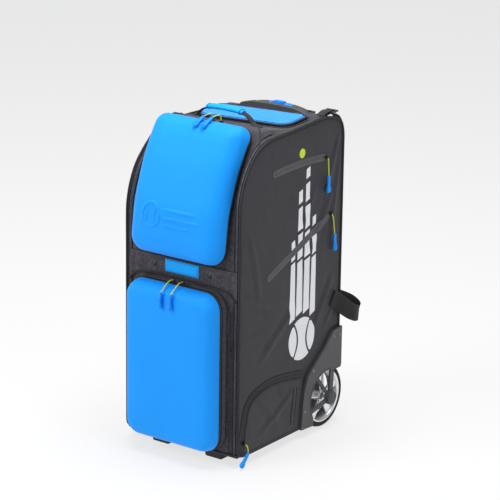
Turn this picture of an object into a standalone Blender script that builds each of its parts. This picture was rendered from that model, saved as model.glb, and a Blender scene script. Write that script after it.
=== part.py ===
"""Wheeled tennis ball machine: a tall trolley bag that carries a two-wheel ball launcher.

Metres, +Z up. The bag stands on the floor at z = 0, its blue covers face -Y and its wheels are at +Y.
Each sub-part is one named solid, and a moving piece has its origin on its joint's axis.
"""

import math

import bmesh
import bpy
import numpy as np
from mathutils import Matrix, Vector

# Bag body: half width, wall thickness and the gap left between neighbouring panels.
HALF_W = 0.184
SIDE_T = 0.008
PANEL_X = 0.1755
FRONT_Y = -0.226
BACK_Y = 0.226
WALL = 0.008
# The flat part of the top, which sags a little behind the grab handle: (y, z).
TOP_LINE = [(-0.0705, 0.8665), (0.006, 0.8535), (0.020, 0.8546), (0.064, 0.8580), (0.111, 0.8617), (0.1555, 0.8620)]
FLOOR_Z = 0.022
SHELF_Z = 0.500
# The drawing's front and back planes are equally far from 0: this moves the finished bag to the middle.
Y_SHIFT = 0.0096

# Front profile under the covers, then the same rows at the piped side edge: (y, z), from bottom to top.
CENTRE_ROWS = [
    (-0.2255, 0.5290), (-0.2240, 0.5710), (-0.2190, 0.6140), (-0.2120, 0.6620), (-0.1970, 0.7090),
    (-0.1770, 0.7620), (-0.1560, 0.8010), (-0.1350, 0.8350), (-0.1080, 0.8630), (-0.0720, 0.8680),
]
EDGE_ROWS = [
    (-0.2260, 0.5290), (-0.2260, 0.5710), (-0.2258, 0.6140), (-0.2255, 0.6620), (-0.2240, 0.7120),
    (-0.2090, 0.7600), (-0.1860, 0.7980), (-0.1560, 0.8290), (-0.1150, 0.8480), (-0.0720, 0.8530),
]
# The soft left shoulder has slumped below the right one. The same rows at the left edge:
EDGE_ROWS_LEFT = [
    (-0.2260, 0.5290), (-0.2260, 0.5710), (-0.2260, 0.6140), (-0.2235, 0.6550), (-0.2120, 0.7000),
    (-0.1900, 0.7450), (-0.1620, 0.7770), (-0.1340, 0.8020), (-0.1060, 0.8230), (-0.0720, 0.8280),
]
# How far the top has sunk at its left end.
TOP_SAG = 0.0125
WINDOW_X = 0.118
EDGE_START_X = 0.1490

# Covers: half width, how far they stand out, edge and corner shape as (inset, share of the depth).
COVER_HX = 0.1455
COVER_CORNER = 0.046
COVER_SKIN = 0.0045
UPPER_DEPTH = 0.062
LOWER_DEPTH = 0.071
COVER_GAP = 0.0022
LOWER_EDGE = [(0.0, 0.0), (0.0, 0.40), (0.003, 0.64), (0.010, 0.82), (0.022, 0.93), (0.042, 0.975)]
UPPER_EDGE = [(0.0, 0.0), (0.001, 0.28), (0.006, 0.54), (0.016, 0.75), (0.030, 0.89), (0.050, 0.965)]
LOWER_COVER_Z = (0.040, 0.470)
UPPER_HINGE = (-0.2290, 0.5250)
LOWER_HINGE = (-0.2290, 0.0360)
UPPER_COVER_S = (0.009, 0.358)

# Wheels and their moulded housings.
WHEEL_R = 0.0875
WHEEL_Y = 0.163
WHEEL_X = 0.166
WHEEL_HALF_W = 0.018
AXLE_R = 0.005
CLEAR = 0.0004
HOUSING_X = (0.1380, 0.1930)
HOUSING_OUTLINE = [
    (0.230, 0.272), (0.190, 0.266), (0.153, 0.230), (0.106, 0.194), (0.074, 0.167), (0.060, 0.136),
    (0.053, 0.095), (0.047, 0.024), (0.113, 0.020), (0.175, 0.024), (0.215, 0.120), (0.230, 0.164),
]

# Launcher: two spinning wheels squeeze the ball between them, and the frame tilts about a cross pin.
BALL_R = 0.0335
SHOT_Z = 0.630
PIVOT_Y = -0.020
LAUNCH_Y = -0.080
LAUNCH_R = 0.045
LAUNCH_DZ = 0.0725
CHASSIS_X = 0.062

# Hopper, feed disc and drop tube share one upright axis.
FEED_Y = 0.045
DROP_Y = 0.117
HOPPER_FLOOR = 0.7745

# Telescopic handle.
TUBE_X = 0.066
TUBE_Y = 0.192


def clear_scene():
    for obj in list(bpy.data.objects):
        bpy.data.objects.remove(obj)


def linear(hex_colour):
    """An sRGB hex colour as Blender's linear RGBA."""
    values = [int(hex_colour[i : i + 2], 16) / 255 for i in (0, 2, 4)]
    return [v / 12.92 if v <= 0.04045 else ((v + 0.055) / 1.055) ** 2.4 for v in values] + [1.0]


def make_material(name, colour, roughness, metallic=0.0):
    mat = bpy.data.materials.new(name)
    mat.use_nodes = True
    shader = mat.node_tree.nodes["Principled BSDF"]
    shader.inputs["Base Color"].default_value = linear(colour)
    shader.inputs["Roughness"].default_value = roughness
    shader.inputs["Metallic"].default_value = metallic
    return mat


def add_mesh(verts, faces, name="piece"):
    """A mesh object with its normals facing out."""
    mesh = bpy.data.meshes.new(name)
    bm = bmesh.new()
    made = [bm.verts.new(v) for v in verts]
    for face in faces:
        bm.faces.new([made[i] for i in face])
    bmesh.ops.recalc_face_normals(bm, faces=bm.faces)
    if bm.calc_volume(signed=True) < 0:
        bmesh.ops.reverse_faces(bm, faces=bm.faces)
    bm.to_mesh(mesh)
    bm.free()
    obj = bpy.data.objects.new(name, mesh)
    collection.objects.link(obj)
    return obj


def box(lo, hi):
    corners = [(x, y, z) for x in (lo[0], hi[0]) for y in (lo[1], hi[1]) for z in (lo[2], hi[2])]
    faces = [(0, 1, 3, 2), (4, 6, 7, 5), (0, 4, 5, 1), (2, 3, 7, 6), (0, 2, 6, 4), (1, 5, 7, 3)]
    return add_mesh(corners, faces)


def both_sides(lo, hi):
    """The same box on the right and on the left."""
    return [box(lo, hi), box((-hi[0], lo[1], lo[2]), (-lo[0], hi[1], hi[2]))]


def prism(outline, lo, hi, axis="X"):
    """An outline pushed along an axis: (y, z) points along X, (x, z) along Y, or (x, y) along Z."""
    if axis == "X":
        ends = [[(at, a, b) for a, b in outline] for at in (lo, hi)]
    elif axis == "Y":
        ends = [[(a, at, b) for a, b in outline] for at in (lo, hi)]
    else:
        ends = [[(a, b, at) for a, b in outline] for at in (lo, hi)]
    n = len(outline)
    faces = [(i, (i + 1) % n, n + (i + 1) % n, n + i) for i in range(n)]
    faces += [tuple(range(n)), tuple(range(n, 2 * n))]
    return add_mesh(ends[0] + ends[1], faces)


def turned(profile, steps, centre, axis):
    """A closed (radius, height) profile turned about an axis through the centre."""
    axis = Vector(axis).normalized()
    turn = axis.to_track_quat("Z", "Y").to_matrix()
    verts, rings = [], []
    for radius, height in profile:
        count = steps if radius > 1e-6 else 1
        rings.append(list(range(len(verts), len(verts) + count)))
        for k in range(count):
            angle = 2 * math.pi * k / steps
            local = Vector((radius * math.cos(angle), radius * math.sin(angle), height))
            verts.append(Vector(centre) + turn @ local)
    faces = []
    for a, b in zip(rings, rings[1:] + rings[:1]):
        if len(a) == 1 and len(b) == 1:
            continue
        for k in range(steps):
            n = (k + 1) % steps
            corners = [a[k % len(a)], a[n % len(a)], b[n % len(b)], b[k % len(b)]]
            faces.append(list(dict.fromkeys(corners)))
    return add_mesh(verts, faces)


def rod(start, end, radius, steps=12):
    length = (Vector(end) - Vector(start)).length
    profile = [(0, 0), (radius, 0), (radius, length), (0, length)]
    return turned(profile, steps, start, Vector(end) - Vector(start))


def sweep(path, section, side, scales=None):
    """A closed 2D section carried along a path. Its first axis points along side where the path allows."""
    path = [Vector(p) for p in path]
    verts = []
    for i, point in enumerate(path):
        along = (path[min(i + 1, len(path) - 1)] - path[max(i - 1, 0)]).normalized()
        u = (Vector(side) - along * along.dot(Vector(side))).normalized()
        v = along.cross(u)
        size = scales[i] if scales else 1.0
        verts += [point + (u * a + v * b) * size for a, b in section]
    n = len(section)
    faces = []
    for ring in range(len(path) - 1):
        for k in range(n):
            a, b = ring * n + k, ring * n + (k + 1) % n
            faces.append((a, b, b + n, a + n))
    faces.append(tuple(range(n)))
    faces.append(tuple(range(len(verts) - n, len(verts))))
    return add_mesh(verts, faces)


def round_section(radius, sides=8, flat=1.0):
    angles = [2 * math.pi * k / sides for k in range(sides)]
    return [(radius * math.cos(a), radius * flat * math.sin(a)) for a in angles]


def flat_section(width, thick):
    return [(-width / 2, -thick / 2), (width / 2, -thick / 2), (width / 2, thick / 2), (-width / 2, thick / 2)]


def boolean(base, others, operation):
    """Cuts or joins the others into the base, and removes them."""
    for other in others:
        modifier = base.modifiers.new("cut", "BOOLEAN")
        modifier.operation = operation
        modifier.solver = "EXACT"
        modifier.object = other
    bpy.context.view_layer.update()
    graph = bpy.context.evaluated_depsgraph_get()
    mesh = bpy.data.meshes.new_from_object(base.evaluated_get(graph))
    base.modifiers.clear()
    base.data = mesh
    for other in others:
        bpy.data.objects.remove(other)
    return base


def join(base, *others):
    return boolean(base, others, "UNION")


def cut(base, *others):
    return boolean(base, others, "DIFFERENCE")


def finish_part(obj, name, mat, pivot=(0.0, 0.0, 0.0)):
    """Names the solid, gives it its material and puts its origin on the joint's axis."""
    obj.name = name
    obj.data.name = name
    obj.data.materials.clear()
    obj.data.materials.append(mat)
    obj.data.transform(Matrix.Translation(-Vector(pivot)))
    obj.location = pivot
    return obj


def rows_of(points):
    """Points of a profile with the unit normal that faces out of the bag at each."""
    found = []
    for i, point in enumerate(points):
        before, after = points[max(i - 1, 0)], points[min(i + 1, len(points) - 1)]
        dy, dz = after[0] - before[0], after[1] - before[1]
        length = math.hypot(dy, dz)
        found.append((point, (-dz / length, dy / length)))
    return found


def profile_at(s):
    """The centre profile's point and outward normal, s metres along it from its first row."""
    rows = np.array(CENTRE_ROWS)
    steps = np.hypot(*np.diff(rows, axis=0).T)
    along = np.concatenate([[0], np.cumsum(steps)])
    normals = np.array([normal for _, normal in rows_of(CENTRE_ROWS)])
    point = [np.interp(s, along, rows[:, k]) for k in (0, 1)]
    normal = np.array([np.interp(s, along, normals[:, k]) for k in (0, 1)])
    normal /= np.linalg.norm(normal)
    beyond = min(s, 0.0) + max(s - along[-1], 0.0)
    return (point[0] + beyond * normal[1], point[1] - beyond * normal[0]), normal


def rounded_ring(half_x, lo, hi, corner, across=2, up=6):
    """Points of a rounded rectangle, the same number whatever its size: (x, s)."""
    points = []
    corner = max(corner, 0.004)
    centres = [(half_x, hi), (-half_x, hi), (-half_x, lo), (half_x, lo)]
    for k, (cx, cs) in enumerate(centres):
        x0 = cx - math.copysign(corner, cx)
        s0 = cs - corner if cs == hi else cs + corner
        for i in range(5):
            angle = math.pi / 2 * (k + i / 4)
            points.append((x0 + corner * math.cos(angle), s0 + corner * math.sin(angle)))
        start = points[-1]
        nx, ns = centres[(k + 1) % 4]
        turn = math.pi / 2 * (k + 1)
        x1 = nx - math.copysign(corner, nx)
        s1 = ns - corner if ns == hi else ns + corner
        end = (x1 + corner * math.cos(turn), s1 + corner * math.sin(turn))
        parts = across if k in (0, 2) else up
        for i in range(1, parts):
            t = i / parts
            points.append((start[0] + (end[0] - start[0]) * t, start[1] + (end[1] - start[1]) * t))
    return points


def cover_shell(place, s_range, depth, edge_shape):
    """A moulded cover: an outer and an inner skin of rounded rings that meet at the open rim."""
    mid = sum(s_range) / 2
    half_s = (s_range[1] - s_range[0]) / 2

    def rings(inset_more, depth_less):
        made = []
        for inset, share in edge_shape:
            edge = inset + inset_more
            at = max(depth * share - (depth_less if share else 0), 0.0)
            ring = rounded_ring(COVER_HX - edge, s_range[0] + edge, s_range[1] - edge, COVER_CORNER - edge)
            made.append([place(x, s, at) for x, s in ring])
        for share in (0.55, 0.25):
            last = edge_shape[-1][0]
            hx, hs = (COVER_HX - last) * share, (half_s - last) * share
            ring = rounded_ring(hx, mid - hs, mid + hs, 0.01)
            made.append([place(x, s, depth * (1 - 0.02 * share) - depth_less) for x, s in ring])
        return made, place(0.0, mid, depth - depth_less)

    outer, outer_tip = rings(0.0, 0.0)
    inner, inner_tip = rings(COVER_SKIN, COVER_SKIN)
    verts = [v for ring in outer for v in ring] + [outer_tip]
    first_inner = len(verts)
    verts += [v for ring in inner for v in ring] + [inner_tip]
    n = len(outer[0])
    faces = []
    for start in (0, first_inner):
        for r in range(len(outer) - 1):
            for k in range(n):
                a, b = start + r * n + k, start + r * n + (k + 1) % n
                faces.append((a, b, b + n, a + n))
        last = start + (len(outer) - 1) * n
        faces += [(last + k, last + (k + 1) % n, last + n) for k in range(n)]
    for k in range(n):
        m = (k + 1) % n
        faces.append((k, m, first_inner + m, first_inner + k))
    return add_mesh(verts, faces)


def sheet(xs, rows, thick, open_cell):
    """A bent panel made of cells over columns xs and rows of (point, normal) pairs, less its open cells."""
    wide, high = len(xs), len(rows)
    verts = []
    for level in (0.0, thick):
        for row in rows:
            for column, x in enumerate(xs):
                (y, z), (ny, nz) = row[column]
                verts.append((x, y - ny * level, z - nz * level))
    back = wide * high

    def solid(c, r):
        return 0 <= c < wide - 1 and 0 <= r < high - 1 and not open_cell(c, r)

    faces = []
    for r in range(high - 1):
        for c in range(wide - 1):
            if not solid(c, r):
                continue
            a, b, d, e = r * wide + c, r * wide + c + 1, (r + 1) * wide + c + 1, (r + 1) * wide + c
            faces += [(a, b, d, e), (a + back, e + back, d + back, b + back)]
            sides = [((a, b), (c, r - 1)), ((b, d), (c + 1, r)), ((d, e), (c, r + 1)), ((e, a), (c - 1, r))]
            for (p, q), beside in sides:
                if not solid(*beside):
                    faces.append((q, p, p + back, q + back))
    used = sorted({i for face in faces for i in face})
    index = {old: new for new, old in enumerate(used)}
    return add_mesh([verts[i] for i in used], [tuple(index[i] for i in face) for face in faces])


def blended_rows():
    """Front rows from the middle of the bag out to its piped edge, which stands further forward."""
    xs = [-PANEL_X, -0.163, -EDGE_START_X, -WINDOW_X, 0.0, WINDOW_X, EDGE_START_X, 0.163, PANEL_X]
    centre, right, left = rows_of(CENTRE_ROWS), rows_of(EDGE_ROWS), rows_of(EDGE_ROWS_LEFT)
    rows = []
    for (cp, cn), right_edge, left_edge in zip(centre, right, left):
        row = []
        for x in xs:
            ep, en = right_edge if x > 0 else left_edge
            t = max(abs(x) - EDGE_START_X, 0.0) / (PANEL_X - EDGE_START_X)
            t = t * t * (3 - 2 * t)
            point = (cp[0] + (ep[0] - cp[0]) * t, cp[1] + (ep[1] - cp[1]) * t)
            normal = Vector((cn[0] + (en[0] - cn[0]) * t, cn[1] + (en[1] - cn[1]) * t)).normalized()
            row.append((point, tuple(normal)))
        rows.append(row)
    return xs, rows


# ---------------------------------------------------------------- bag body

def side_outline(right):
    """A side panel's edge (y, z): straight front, leaning top front, and a step round the wheel housing."""
    front = [(-0.208, 0.0265), (-0.221, 0.031), (-0.226, 0.044)]
    if right:
        front += EDGE_ROWS
        top = [(-0.010, 0.8555), (0.080, 0.8610), (0.133, 0.8645), (0.167, 0.8610), (0.200, 0.8505)]
        back = [(0.216, 0.838), (0.2235, 0.818), (0.226, 0.800), (0.226, 0.2734)]
    else:
        front += EDGE_ROWS_LEFT
        top = [(-0.010, 0.8375), (0.080, 0.8370), (0.133, 0.8355), (0.167, 0.8320), (0.200, 0.8210)]
        back = [(0.216, 0.808), (0.2235, 0.7935), (0.226, 0.778), (0.226, 0.2734)]
    step = [
        (0.1895, 0.2674), (0.1520, 0.2314), (0.1050, 0.1954), (0.0728, 0.1678), (0.0586, 0.1364),
        (0.0516, 0.0951), (0.0457, 0.0265),
    ]
    return front + top + back + step


def build_side_panels():
    finish_part(prism(side_outline(True), HALF_W - SIDE_T, HALF_W), "side_panel_right", nylon)
    finish_part(prism(side_outline(False), -HALF_W, SIDE_T - HALF_W), "side_panel_left", nylon)


def build_back_panel():
    outline = [
        (0.226, 0.0305), (0.226, 0.800), (0.224, 0.815), (0.2205, 0.828), (0.2135, 0.8425),
        (0.2130, 0.830), (0.2160, 0.818), (0.218, 0.800), (0.218, 0.0305),
    ]
    panel = prism(outline, -PANEL_X, PANEL_X)
    notches = both_sides((0.1375, 0.20, 0.0), (0.20, 0.25, 0.2735))
    slump = prism([(-0.20, 0.86), (-0.20, 0.8120), (-0.10, 0.8435), (-0.10, 0.86)], 0.20, 0.24, axis="Y")
    finish_part(cut(panel, *notches, slump), "back_panel", nylon)


def build_base_tray():
    step, front, behind = 0.1375, 0.0445, 0.2175
    outline = [
        (-PANEL_X, -behind), (PANEL_X, -behind), (PANEL_X, front), (step, front), (step, behind),
        (-step, behind), (-step, front), (-PANEL_X, front),
    ]
    finish_part(prism(outline, FLOOR_Z, FLOOR_Z + WALL, axis="Z"), "base_tray", moulded)


def build_front_frames():
    xs, rows = blended_rows()
    frame = sheet(xs, rows, WALL, lambda c, r: 3 <= c <= 4 and 1 <= r <= 6)
    finish_part(frame, "upper_front_frame", band_cloth)
    plate = box((-PANEL_X, FRONT_Y, 0.0310), (PANEL_X, FRONT_Y + WALL, 0.5285))
    window = box((-WINDOW_X, FRONT_Y - 0.01, 0.072), (WINDOW_X, FRONT_Y + 0.02, 0.440))
    finish_part(cut(plate, window), "lower_front_frame", band_cloth)


def top_at(y):
    """Height of the flat part of the top."""
    return float(np.interp(y, *zip(*TOP_LINE)))


def sag_at(x, y):
    """How far the top has sunk: evenly more towards its left end, and less in front of the grab handle."""
    return TOP_SAG * min(max((0.157 - x) / 0.314, 0), 1) * min(max((y + 0.0705) / 0.0765, 0), 1)


def build_top_panel():
    """The top meets the piped side edges with a short slope, round the hopper's mouth."""
    xs = [-PANEL_X, -0.166, -0.157, -0.142, 0.0, 0.142, 0.157, 0.166, PANEL_X]
    right = (0.8530, 0.8565, 0.8573, 0.8600, 0.8630, 0.8620)
    left = (0.8280, 0.8390, 0.8388, 0.8378, 0.8365, 0.8340)
    rows = []
    for (y, flat_z), right_z, left_z in zip(TOP_LINE, right, left):
        row = []
        for x in xs:
            t = max(abs(x) - 0.157, 0.0) / (PANEL_X - 0.157)
            z = flat_z - sag_at(x, y)
            row.append(((y, z + ((right_z if x > 0 else left_z) - z) * t), (0.0, 1.0)))
        rows.append(row)
    plate = sheet(xs, rows, WALL, lambda c, r: 3 <= c <= 4 and 2 <= r <= 3)
    anchors = both_sides((0.0870, -0.059, 0.8590), (0.1015, -0.037, 0.8690))
    finish_part(join(plate, *anchors), "top_panel", nylon)


def build_shelf():
    finish_part(box((-PANEL_X, -0.2170, SHELF_Z), (PANEL_X, 0.1760, SHELF_Z + 0.006)), "middle_shelf", moulded)


def build_feet():
    for name, side in (("front_foot_right", 1), ("front_foot_left", -1)):
        outline = [(-0.203, 0.0), (-0.162, 0.0), (-0.157, 0.0217), (-0.210, 0.0217)]
        lo, hi = sorted((side * 0.062, side * 0.114))
        finish_part(prism(outline, lo, hi), name, rubber)


# ---------------------------------------------------------------- covers, lid and straps

def upper_place(x, s, depth):
    (y, z), (ny, nz) = profile_at(s)
    depth += COVER_GAP
    return (x, y + ny * depth, z + nz * depth)


def lower_place(x, s, depth):
    return (x, FRONT_Y - COVER_GAP / 2 - depth, s)


def build_covers():
    upper = cover_shell(upper_place, UPPER_COVER_S, UPPER_DEPTH, UPPER_EDGE)
    finish_part(upper, "upper_cover", shell_blue, (0.0,) + UPPER_HINGE)
    lower = cover_shell(lower_place, LOWER_COVER_Z, LOWER_DEPTH, LOWER_EDGE)
    finish_part(lower, "lower_cover", shell_blue, (0.0,) + LOWER_HINGE)


def build_lid():
    """A padded panel, a little domed, over the hopper's mouth."""
    mid_y, half_x, half_y = 0.066, 0.152, 0.055
    verts = []
    levels = [(1.0, 0.0012), (1.0, 0.0065), (0.97, 0.0090), (0.60, 0.0110)]
    slope = (top_at(0.111) - top_at(0.020)) / 0.091
    for share, up in levels:
        corner = 0.030 * share
        ring = rounded_ring(half_x * share, mid_y - half_y * share, mid_y + half_y * share, corner, 3, 2)
        verts += [(x, y, top_at(0.020) + (y - 0.020) * slope - sag_at(x, y) + up) for x, y in ring]
    n = len(verts) // len(levels)
    faces = [tuple(range(n)), tuple(range(len(verts) - n, len(verts)))]
    for r in range(len(levels) - 1):
        faces += [(r * n + k, r * n + (k + 1) % n, (r + 1) * n + (k + 1) % n, (r + 1) * n + k) for k in range(n)]
    finish_part(add_mesh(verts, faces), "top_lid", lid_blue, (0.0, 0.1235, 0.8655))


def build_grab_handle():
    pivot = (0.0, -0.048, 0.8730)
    arch = [
        (-0.0850, 0.8730), (-0.077, 0.881), (-0.063, 0.8895), (-0.042, 0.8945), (0.0, 0.896),
        (0.042, 0.8945), (0.063, 0.8895), (0.077, 0.881), (0.0850, 0.8730),
    ]
    path = [(x, -0.048, z) for x, z in arch]
    webbing_piece = sweep(path, flat_section(0.020, 0.002), (0, 1, 0))
    finish_part(webbing_piece, "grab_webbing", webbing, pivot)
    middle = path[2:-2]
    grip = sweep(middle, round_section(0.0120, 10, 0.60), (0, 1, 0), [0.94, 1.0, 1.0, 1.0, 0.94])
    slot = sweep(path[1:-1], flat_section(0.0208, 0.0028), (0, 1, 0))
    finish_part(cut(grip, slot), "grab_grip", grip_blue, pivot)


def build_front_band():
    """The short strap between the two covers, held by a press stud at each end."""
    strap = box((-0.054, FRONT_Y - 0.0042, 0.4880), (0.054, FRONT_Y - 0.0010, 0.5190))
    finish_part(strap, "front_strap", shell_blue)
    for name, x in (("press_stud_right", 0.090), ("press_stud_left", -0.090)):
        profile = [(0, 0), (0.0055, 0), (0.0055, 0.0012), (0.0040, 0.0030), (0, 0.0034)]
        stud = turned(profile, 12, (x, FRONT_Y - 0.0004, 0.5040), (0, -1, 0))
        finish_part(stud, name, dark_metal)


def build_strap_loop():
    """A drooping loop of wide webbing sewn into the right rear edge."""
    path = [
        (0.1884, 0.188, 0.3600), (0.1918, 0.206, 0.3480), (0.2030, 0.237, 0.3200), (0.2115, 0.265, 0.3030),
        (0.2090, 0.281, 0.3020), (0.1970, 0.285, 0.3110), (0.1810, 0.275, 0.3260), (0.1650, 0.254, 0.3390),
        (0.1540, 0.236, 0.3460), (0.1440, 0.2310, 0.3480),
    ]
    finish_part(sweep(path, flat_section(0.045, 0.0024), (0, 0, 1)), "strap_loop", webbing)


def build_corner_strap():
    """The compression strap over the top right rear corner, with its ladder buckle."""
    path = [
        (0.170, 0.1500, 0.8680), (0.170, 0.168, 0.8690), (0.170, 0.190, 0.8650), (0.170, 0.208, 0.8555),
        (0.170, 0.2215, 0.8385), (0.170, 0.2288, 0.8180), (0.170, 0.2292, 0.7900),
    ]
    finish_part(sweep(path, flat_section(0.024, 0.0022), (1, 0, 0)), "corner_strap", webbing)
    frame = box((0.1555, 0.1670, 0.8708), (0.1845, 0.1930, 0.8752))
    slots = [box((0.1590, y, 0.86), (0.1810, y + 0.0065, 0.88)) for y in (0.1705, 0.1820)]
    finish_part(cut(frame, *slots), "corner_buckle", moulded)


# ---------------------------------------------------------------- wheels

def arc(centre, radius, start, end, count):
    """Points of an arc (y, z), with angles in degrees."""
    angles = [math.radians(start + (end - start) * i / (count - 1)) for i in range(count)]
    return [(centre[0] + radius * math.cos(a), centre[1] + radius * math.sin(a)) for a in angles]


def housing():
    """The right-hand housing: a corner fairing with a wheel well, a cut-away face and three arms to the hub."""
    hub = (WHEEL_Y, WHEEL_R)
    body = prism(HOUSING_OUTLINE, *HOUSING_X)
    well = prism(arc(hub, 0.0915, -150, 150, 17) + [(0.070, 0.12), (0.070, 0.0)], 0.1440, 0.1870)
    spill = prism([(0.163, 0.170), (0.30, 0.170), (0.30, -0.05), (0.072, -0.05), (0.072, 0.08)], 0.1440, 0.1870)
    face = prism(arc(hub, 0.0750, 65, 215, 13) + [(0.105, -0.05), (0.30, -0.05), (0.30, 0.1560)], 0.1865, 0.22)
    hollow = [(0.138, 0.195), (0.192, 0.254), (0.224, 0.262), (0.224, 0.194), (0.170, 0.188)]
    cut(body, well, spill, face, prism(hollow, 0.13, 0.1865))
    arms = [sweep([(0.1895, *end), (0.2030, *hub)], flat_section(width, 0.0056), (0, -dz, dy)) for
            end, width, (dy, dz) in (
                ((0.190, 0.170), 0.017, (0.027, 0.083)),
                ((0.118, 0.152), 0.009, (-0.045, 0.065)),
                ((0.085, 0.060), 0.012, (-0.078, -0.027)),
            )]
    boss = rod((0.1970, *hub), (0.2120, *hub), 0.0190, 20)
    join(body, boss, *arms)
    return cut(body, rod((0.12, *hub), (0.2060, *hub), AXLE_R + CLEAR, 16))


def wheel_rim():
    """A chromed rim: barrel, hub and five broad spokes."""
    w = WHEEL_HALF_W
    barrel = [
        (0.0670, -w + 0.002), (0.0735, -w + 0.002), (0.0705, -w + 0.006), (0.0705, w - 0.006),
        (0.0735, w - 0.002), (0.0670, w - 0.002), (0.0630, 0.0),
    ]
    centre = (WHEEL_X, WHEEL_Y, WHEEL_R)
    rim = turned(barrel, 28, centre, (1, 0, 0))
    hub = turned([(0, -w), (0.0170, -w), (0.0170, w), (0, w)], 16, centre, (1, 0, 0))
    spokes = []
    for k in range(5):
        angle = 2 * math.pi * (k + 0.25) / 5
        out = Vector((0.0, math.cos(angle), math.sin(angle)))
        side = Vector((0.0, -math.sin(angle), math.cos(angle)))
        start, end = Vector(centre) + Vector((0.006, 0, 0)), Vector(centre) + out * 0.0665 + Vector((0.006, 0, 0))
        spokes.append(sweep([start, end], flat_section(0.024, 0.011), side, [0.75, 1.15]))
    join(rim, hub, *spokes)
    return cut(rim, rod((0.13, WHEEL_Y, WHEEL_R), (0.21, WHEEL_Y, WHEEL_R), AXLE_R + CLEAR, 16))


def wheel_tyre():
    w = WHEEL_HALF_W
    profile = [
        (0.0752, -w), (0.0820, -w), (0.0875, -w + 0.010), (0.0875, w - 0.010), (0.0820, w), (0.0752, w),
        (0.0712, w - 0.0068), (0.0712, -w + 0.0068),
    ]
    return turned(profile, 28, (WHEEL_X, WHEEL_Y, WHEEL_R), (1, 0, 0))


def mirrored(obj):
    """A left-hand copy of a right-hand solid."""
    copy = bpy.data.objects.new("copy", obj.data.copy())
    collection.objects.link(copy)
    copy.data.transform(Matrix.Scale(-1, 4, (1, 0, 0)))
    copy.data.flip_normals()
    return copy


def build_wheels():
    makers = (
        ("wheel_housing", housing, housing_grey, False),
        ("wheel_rim", wheel_rim, chrome, True),
        ("wheel_tyre", wheel_tyre, rubber, True),
        ("wheel_axle", lambda: rod((0.1385, WHEEL_Y, WHEEL_R), (0.2055, WHEEL_Y, WHEEL_R), AXLE_R, 16), steel, False),
    )
    for name, make, mat, spins in makers:
        right = make()
        left = mirrored(right)
        for obj, side, word in ((right, 1, "right"), (left, -1, "left")):
            pivot = (side * WHEEL_X, WHEEL_Y, WHEEL_R) if spins else (0.0, 0.0, 0.0)
            finish_part(obj, f"{name}_{word}", mat, pivot)


# ---------------------------------------------------------------- telescopic handle

def build_trolley_handle():
    rise = (0.0, TUBE_Y, 0.860)
    for word, side in (("right", 1), ("left", -1)):
        x = side * TUBE_X
        outer = [(0.0088, 0.0), (0.0105, 0.0), (0.0105, 0.764), (0.0088, 0.764)]
        finish_part(turned(outer, 14, (x, TUBE_Y, 0.060), (0, 0, 1)), f"handle_sleeve_{word}", aluminium)
        stem = rod((x, TUBE_Y, 0.415), (x, TUBE_Y, 0.8495), 0.0083, 14)
        finish_part(stem, f"handle_stem_{word}", aluminium, rise)
    bezel = box((-0.102, 0.1705, 0.8250), (0.102, 0.2120, 0.8560))
    pocket = box((-0.097, 0.1745, 0.8300), (0.097, 0.2085, 0.90))
    brow = [(0.116, 0.8490), (0.104, 0.8600), (0.070, 0.8680), (0.0, 0.8705)]
    outline = [(-x, z) for x, z in brow] + brow[-2::-1] + [(0.096, 0.8400), (-0.096, 0.8400)]
    holes = [rod((x, TUBE_Y, 0.82), (x, TUBE_Y, 0.86), 0.0087, 14) for x in (-TUBE_X, TUBE_X)]
    join(bezel, prism(outline, 0.1580, 0.1735, axis="Y"))
    finish_part(cut(bezel, pocket, *holes), "handle_bezel", moulded)
    half = [(0.0910, 0.8440), (0.0840, 0.8505), (0.0500, 0.8580), (0.0, 0.8605)]
    curve = [(-x, z) for x, z in half] + [(x, z) for x, z in half[-2::-1]]
    grip = sweep([(x, TUBE_Y, z) for x, z in curve], round_section(0.0130, 12, 0.82), (0, 1, 0),
                 [0.75, 1, 1, 1, 1, 1, 0.75])
    sockets = [rod((x, TUBE_Y, 0.83), (x, TUBE_Y, 0.8500), 0.0087, 14) for x in (-TUBE_X, TUBE_X)]
    recess = box((-0.0175, TUBE_Y - 0.0065, 0.8640), (0.0175, TUBE_Y + 0.0065, 0.90))
    finish_part(cut(grip, recess, *sockets), "handle_grip", grip_blue, rise)
    button = box((-0.0170, TUBE_Y - 0.0060, 0.8680), (0.0170, TUBE_Y + 0.0060, 0.8730))
    finish_part(button, "handle_button", moulded, (0.0, TUBE_Y, 0.870))


# ---------------------------------------------------------------- ball launcher

def build_launcher_base():
    plate = box((-0.1440, -0.125, SHELF_Z + 0.0064), (0.1440, 0.055, SHELF_Z + 0.0106))
    outline = [(-0.075, SHELF_Z + 0.0080), (0.050, SHELF_Z + 0.0080), (0.040, 0.640), (0.000, 0.665), (-0.040, 0.665)]
    uprights = [prism(outline, *sorted((side * 0.1390, side * 0.1436))) for side in (1, -1)]
    join(plate, *uprights)
    pins = rod((-0.16, PIVOT_Y, SHOT_Z), (0.16, PIVOT_Y, SHOT_Z), 0.0084, 16)
    knob_hole = rod((0.13, 0.020, 0.590), (0.16, 0.020, 0.590), 0.0044, 12)
    finish_part(cut(plate, pins, knob_hole), "launcher_base", launcher_grey)


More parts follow.
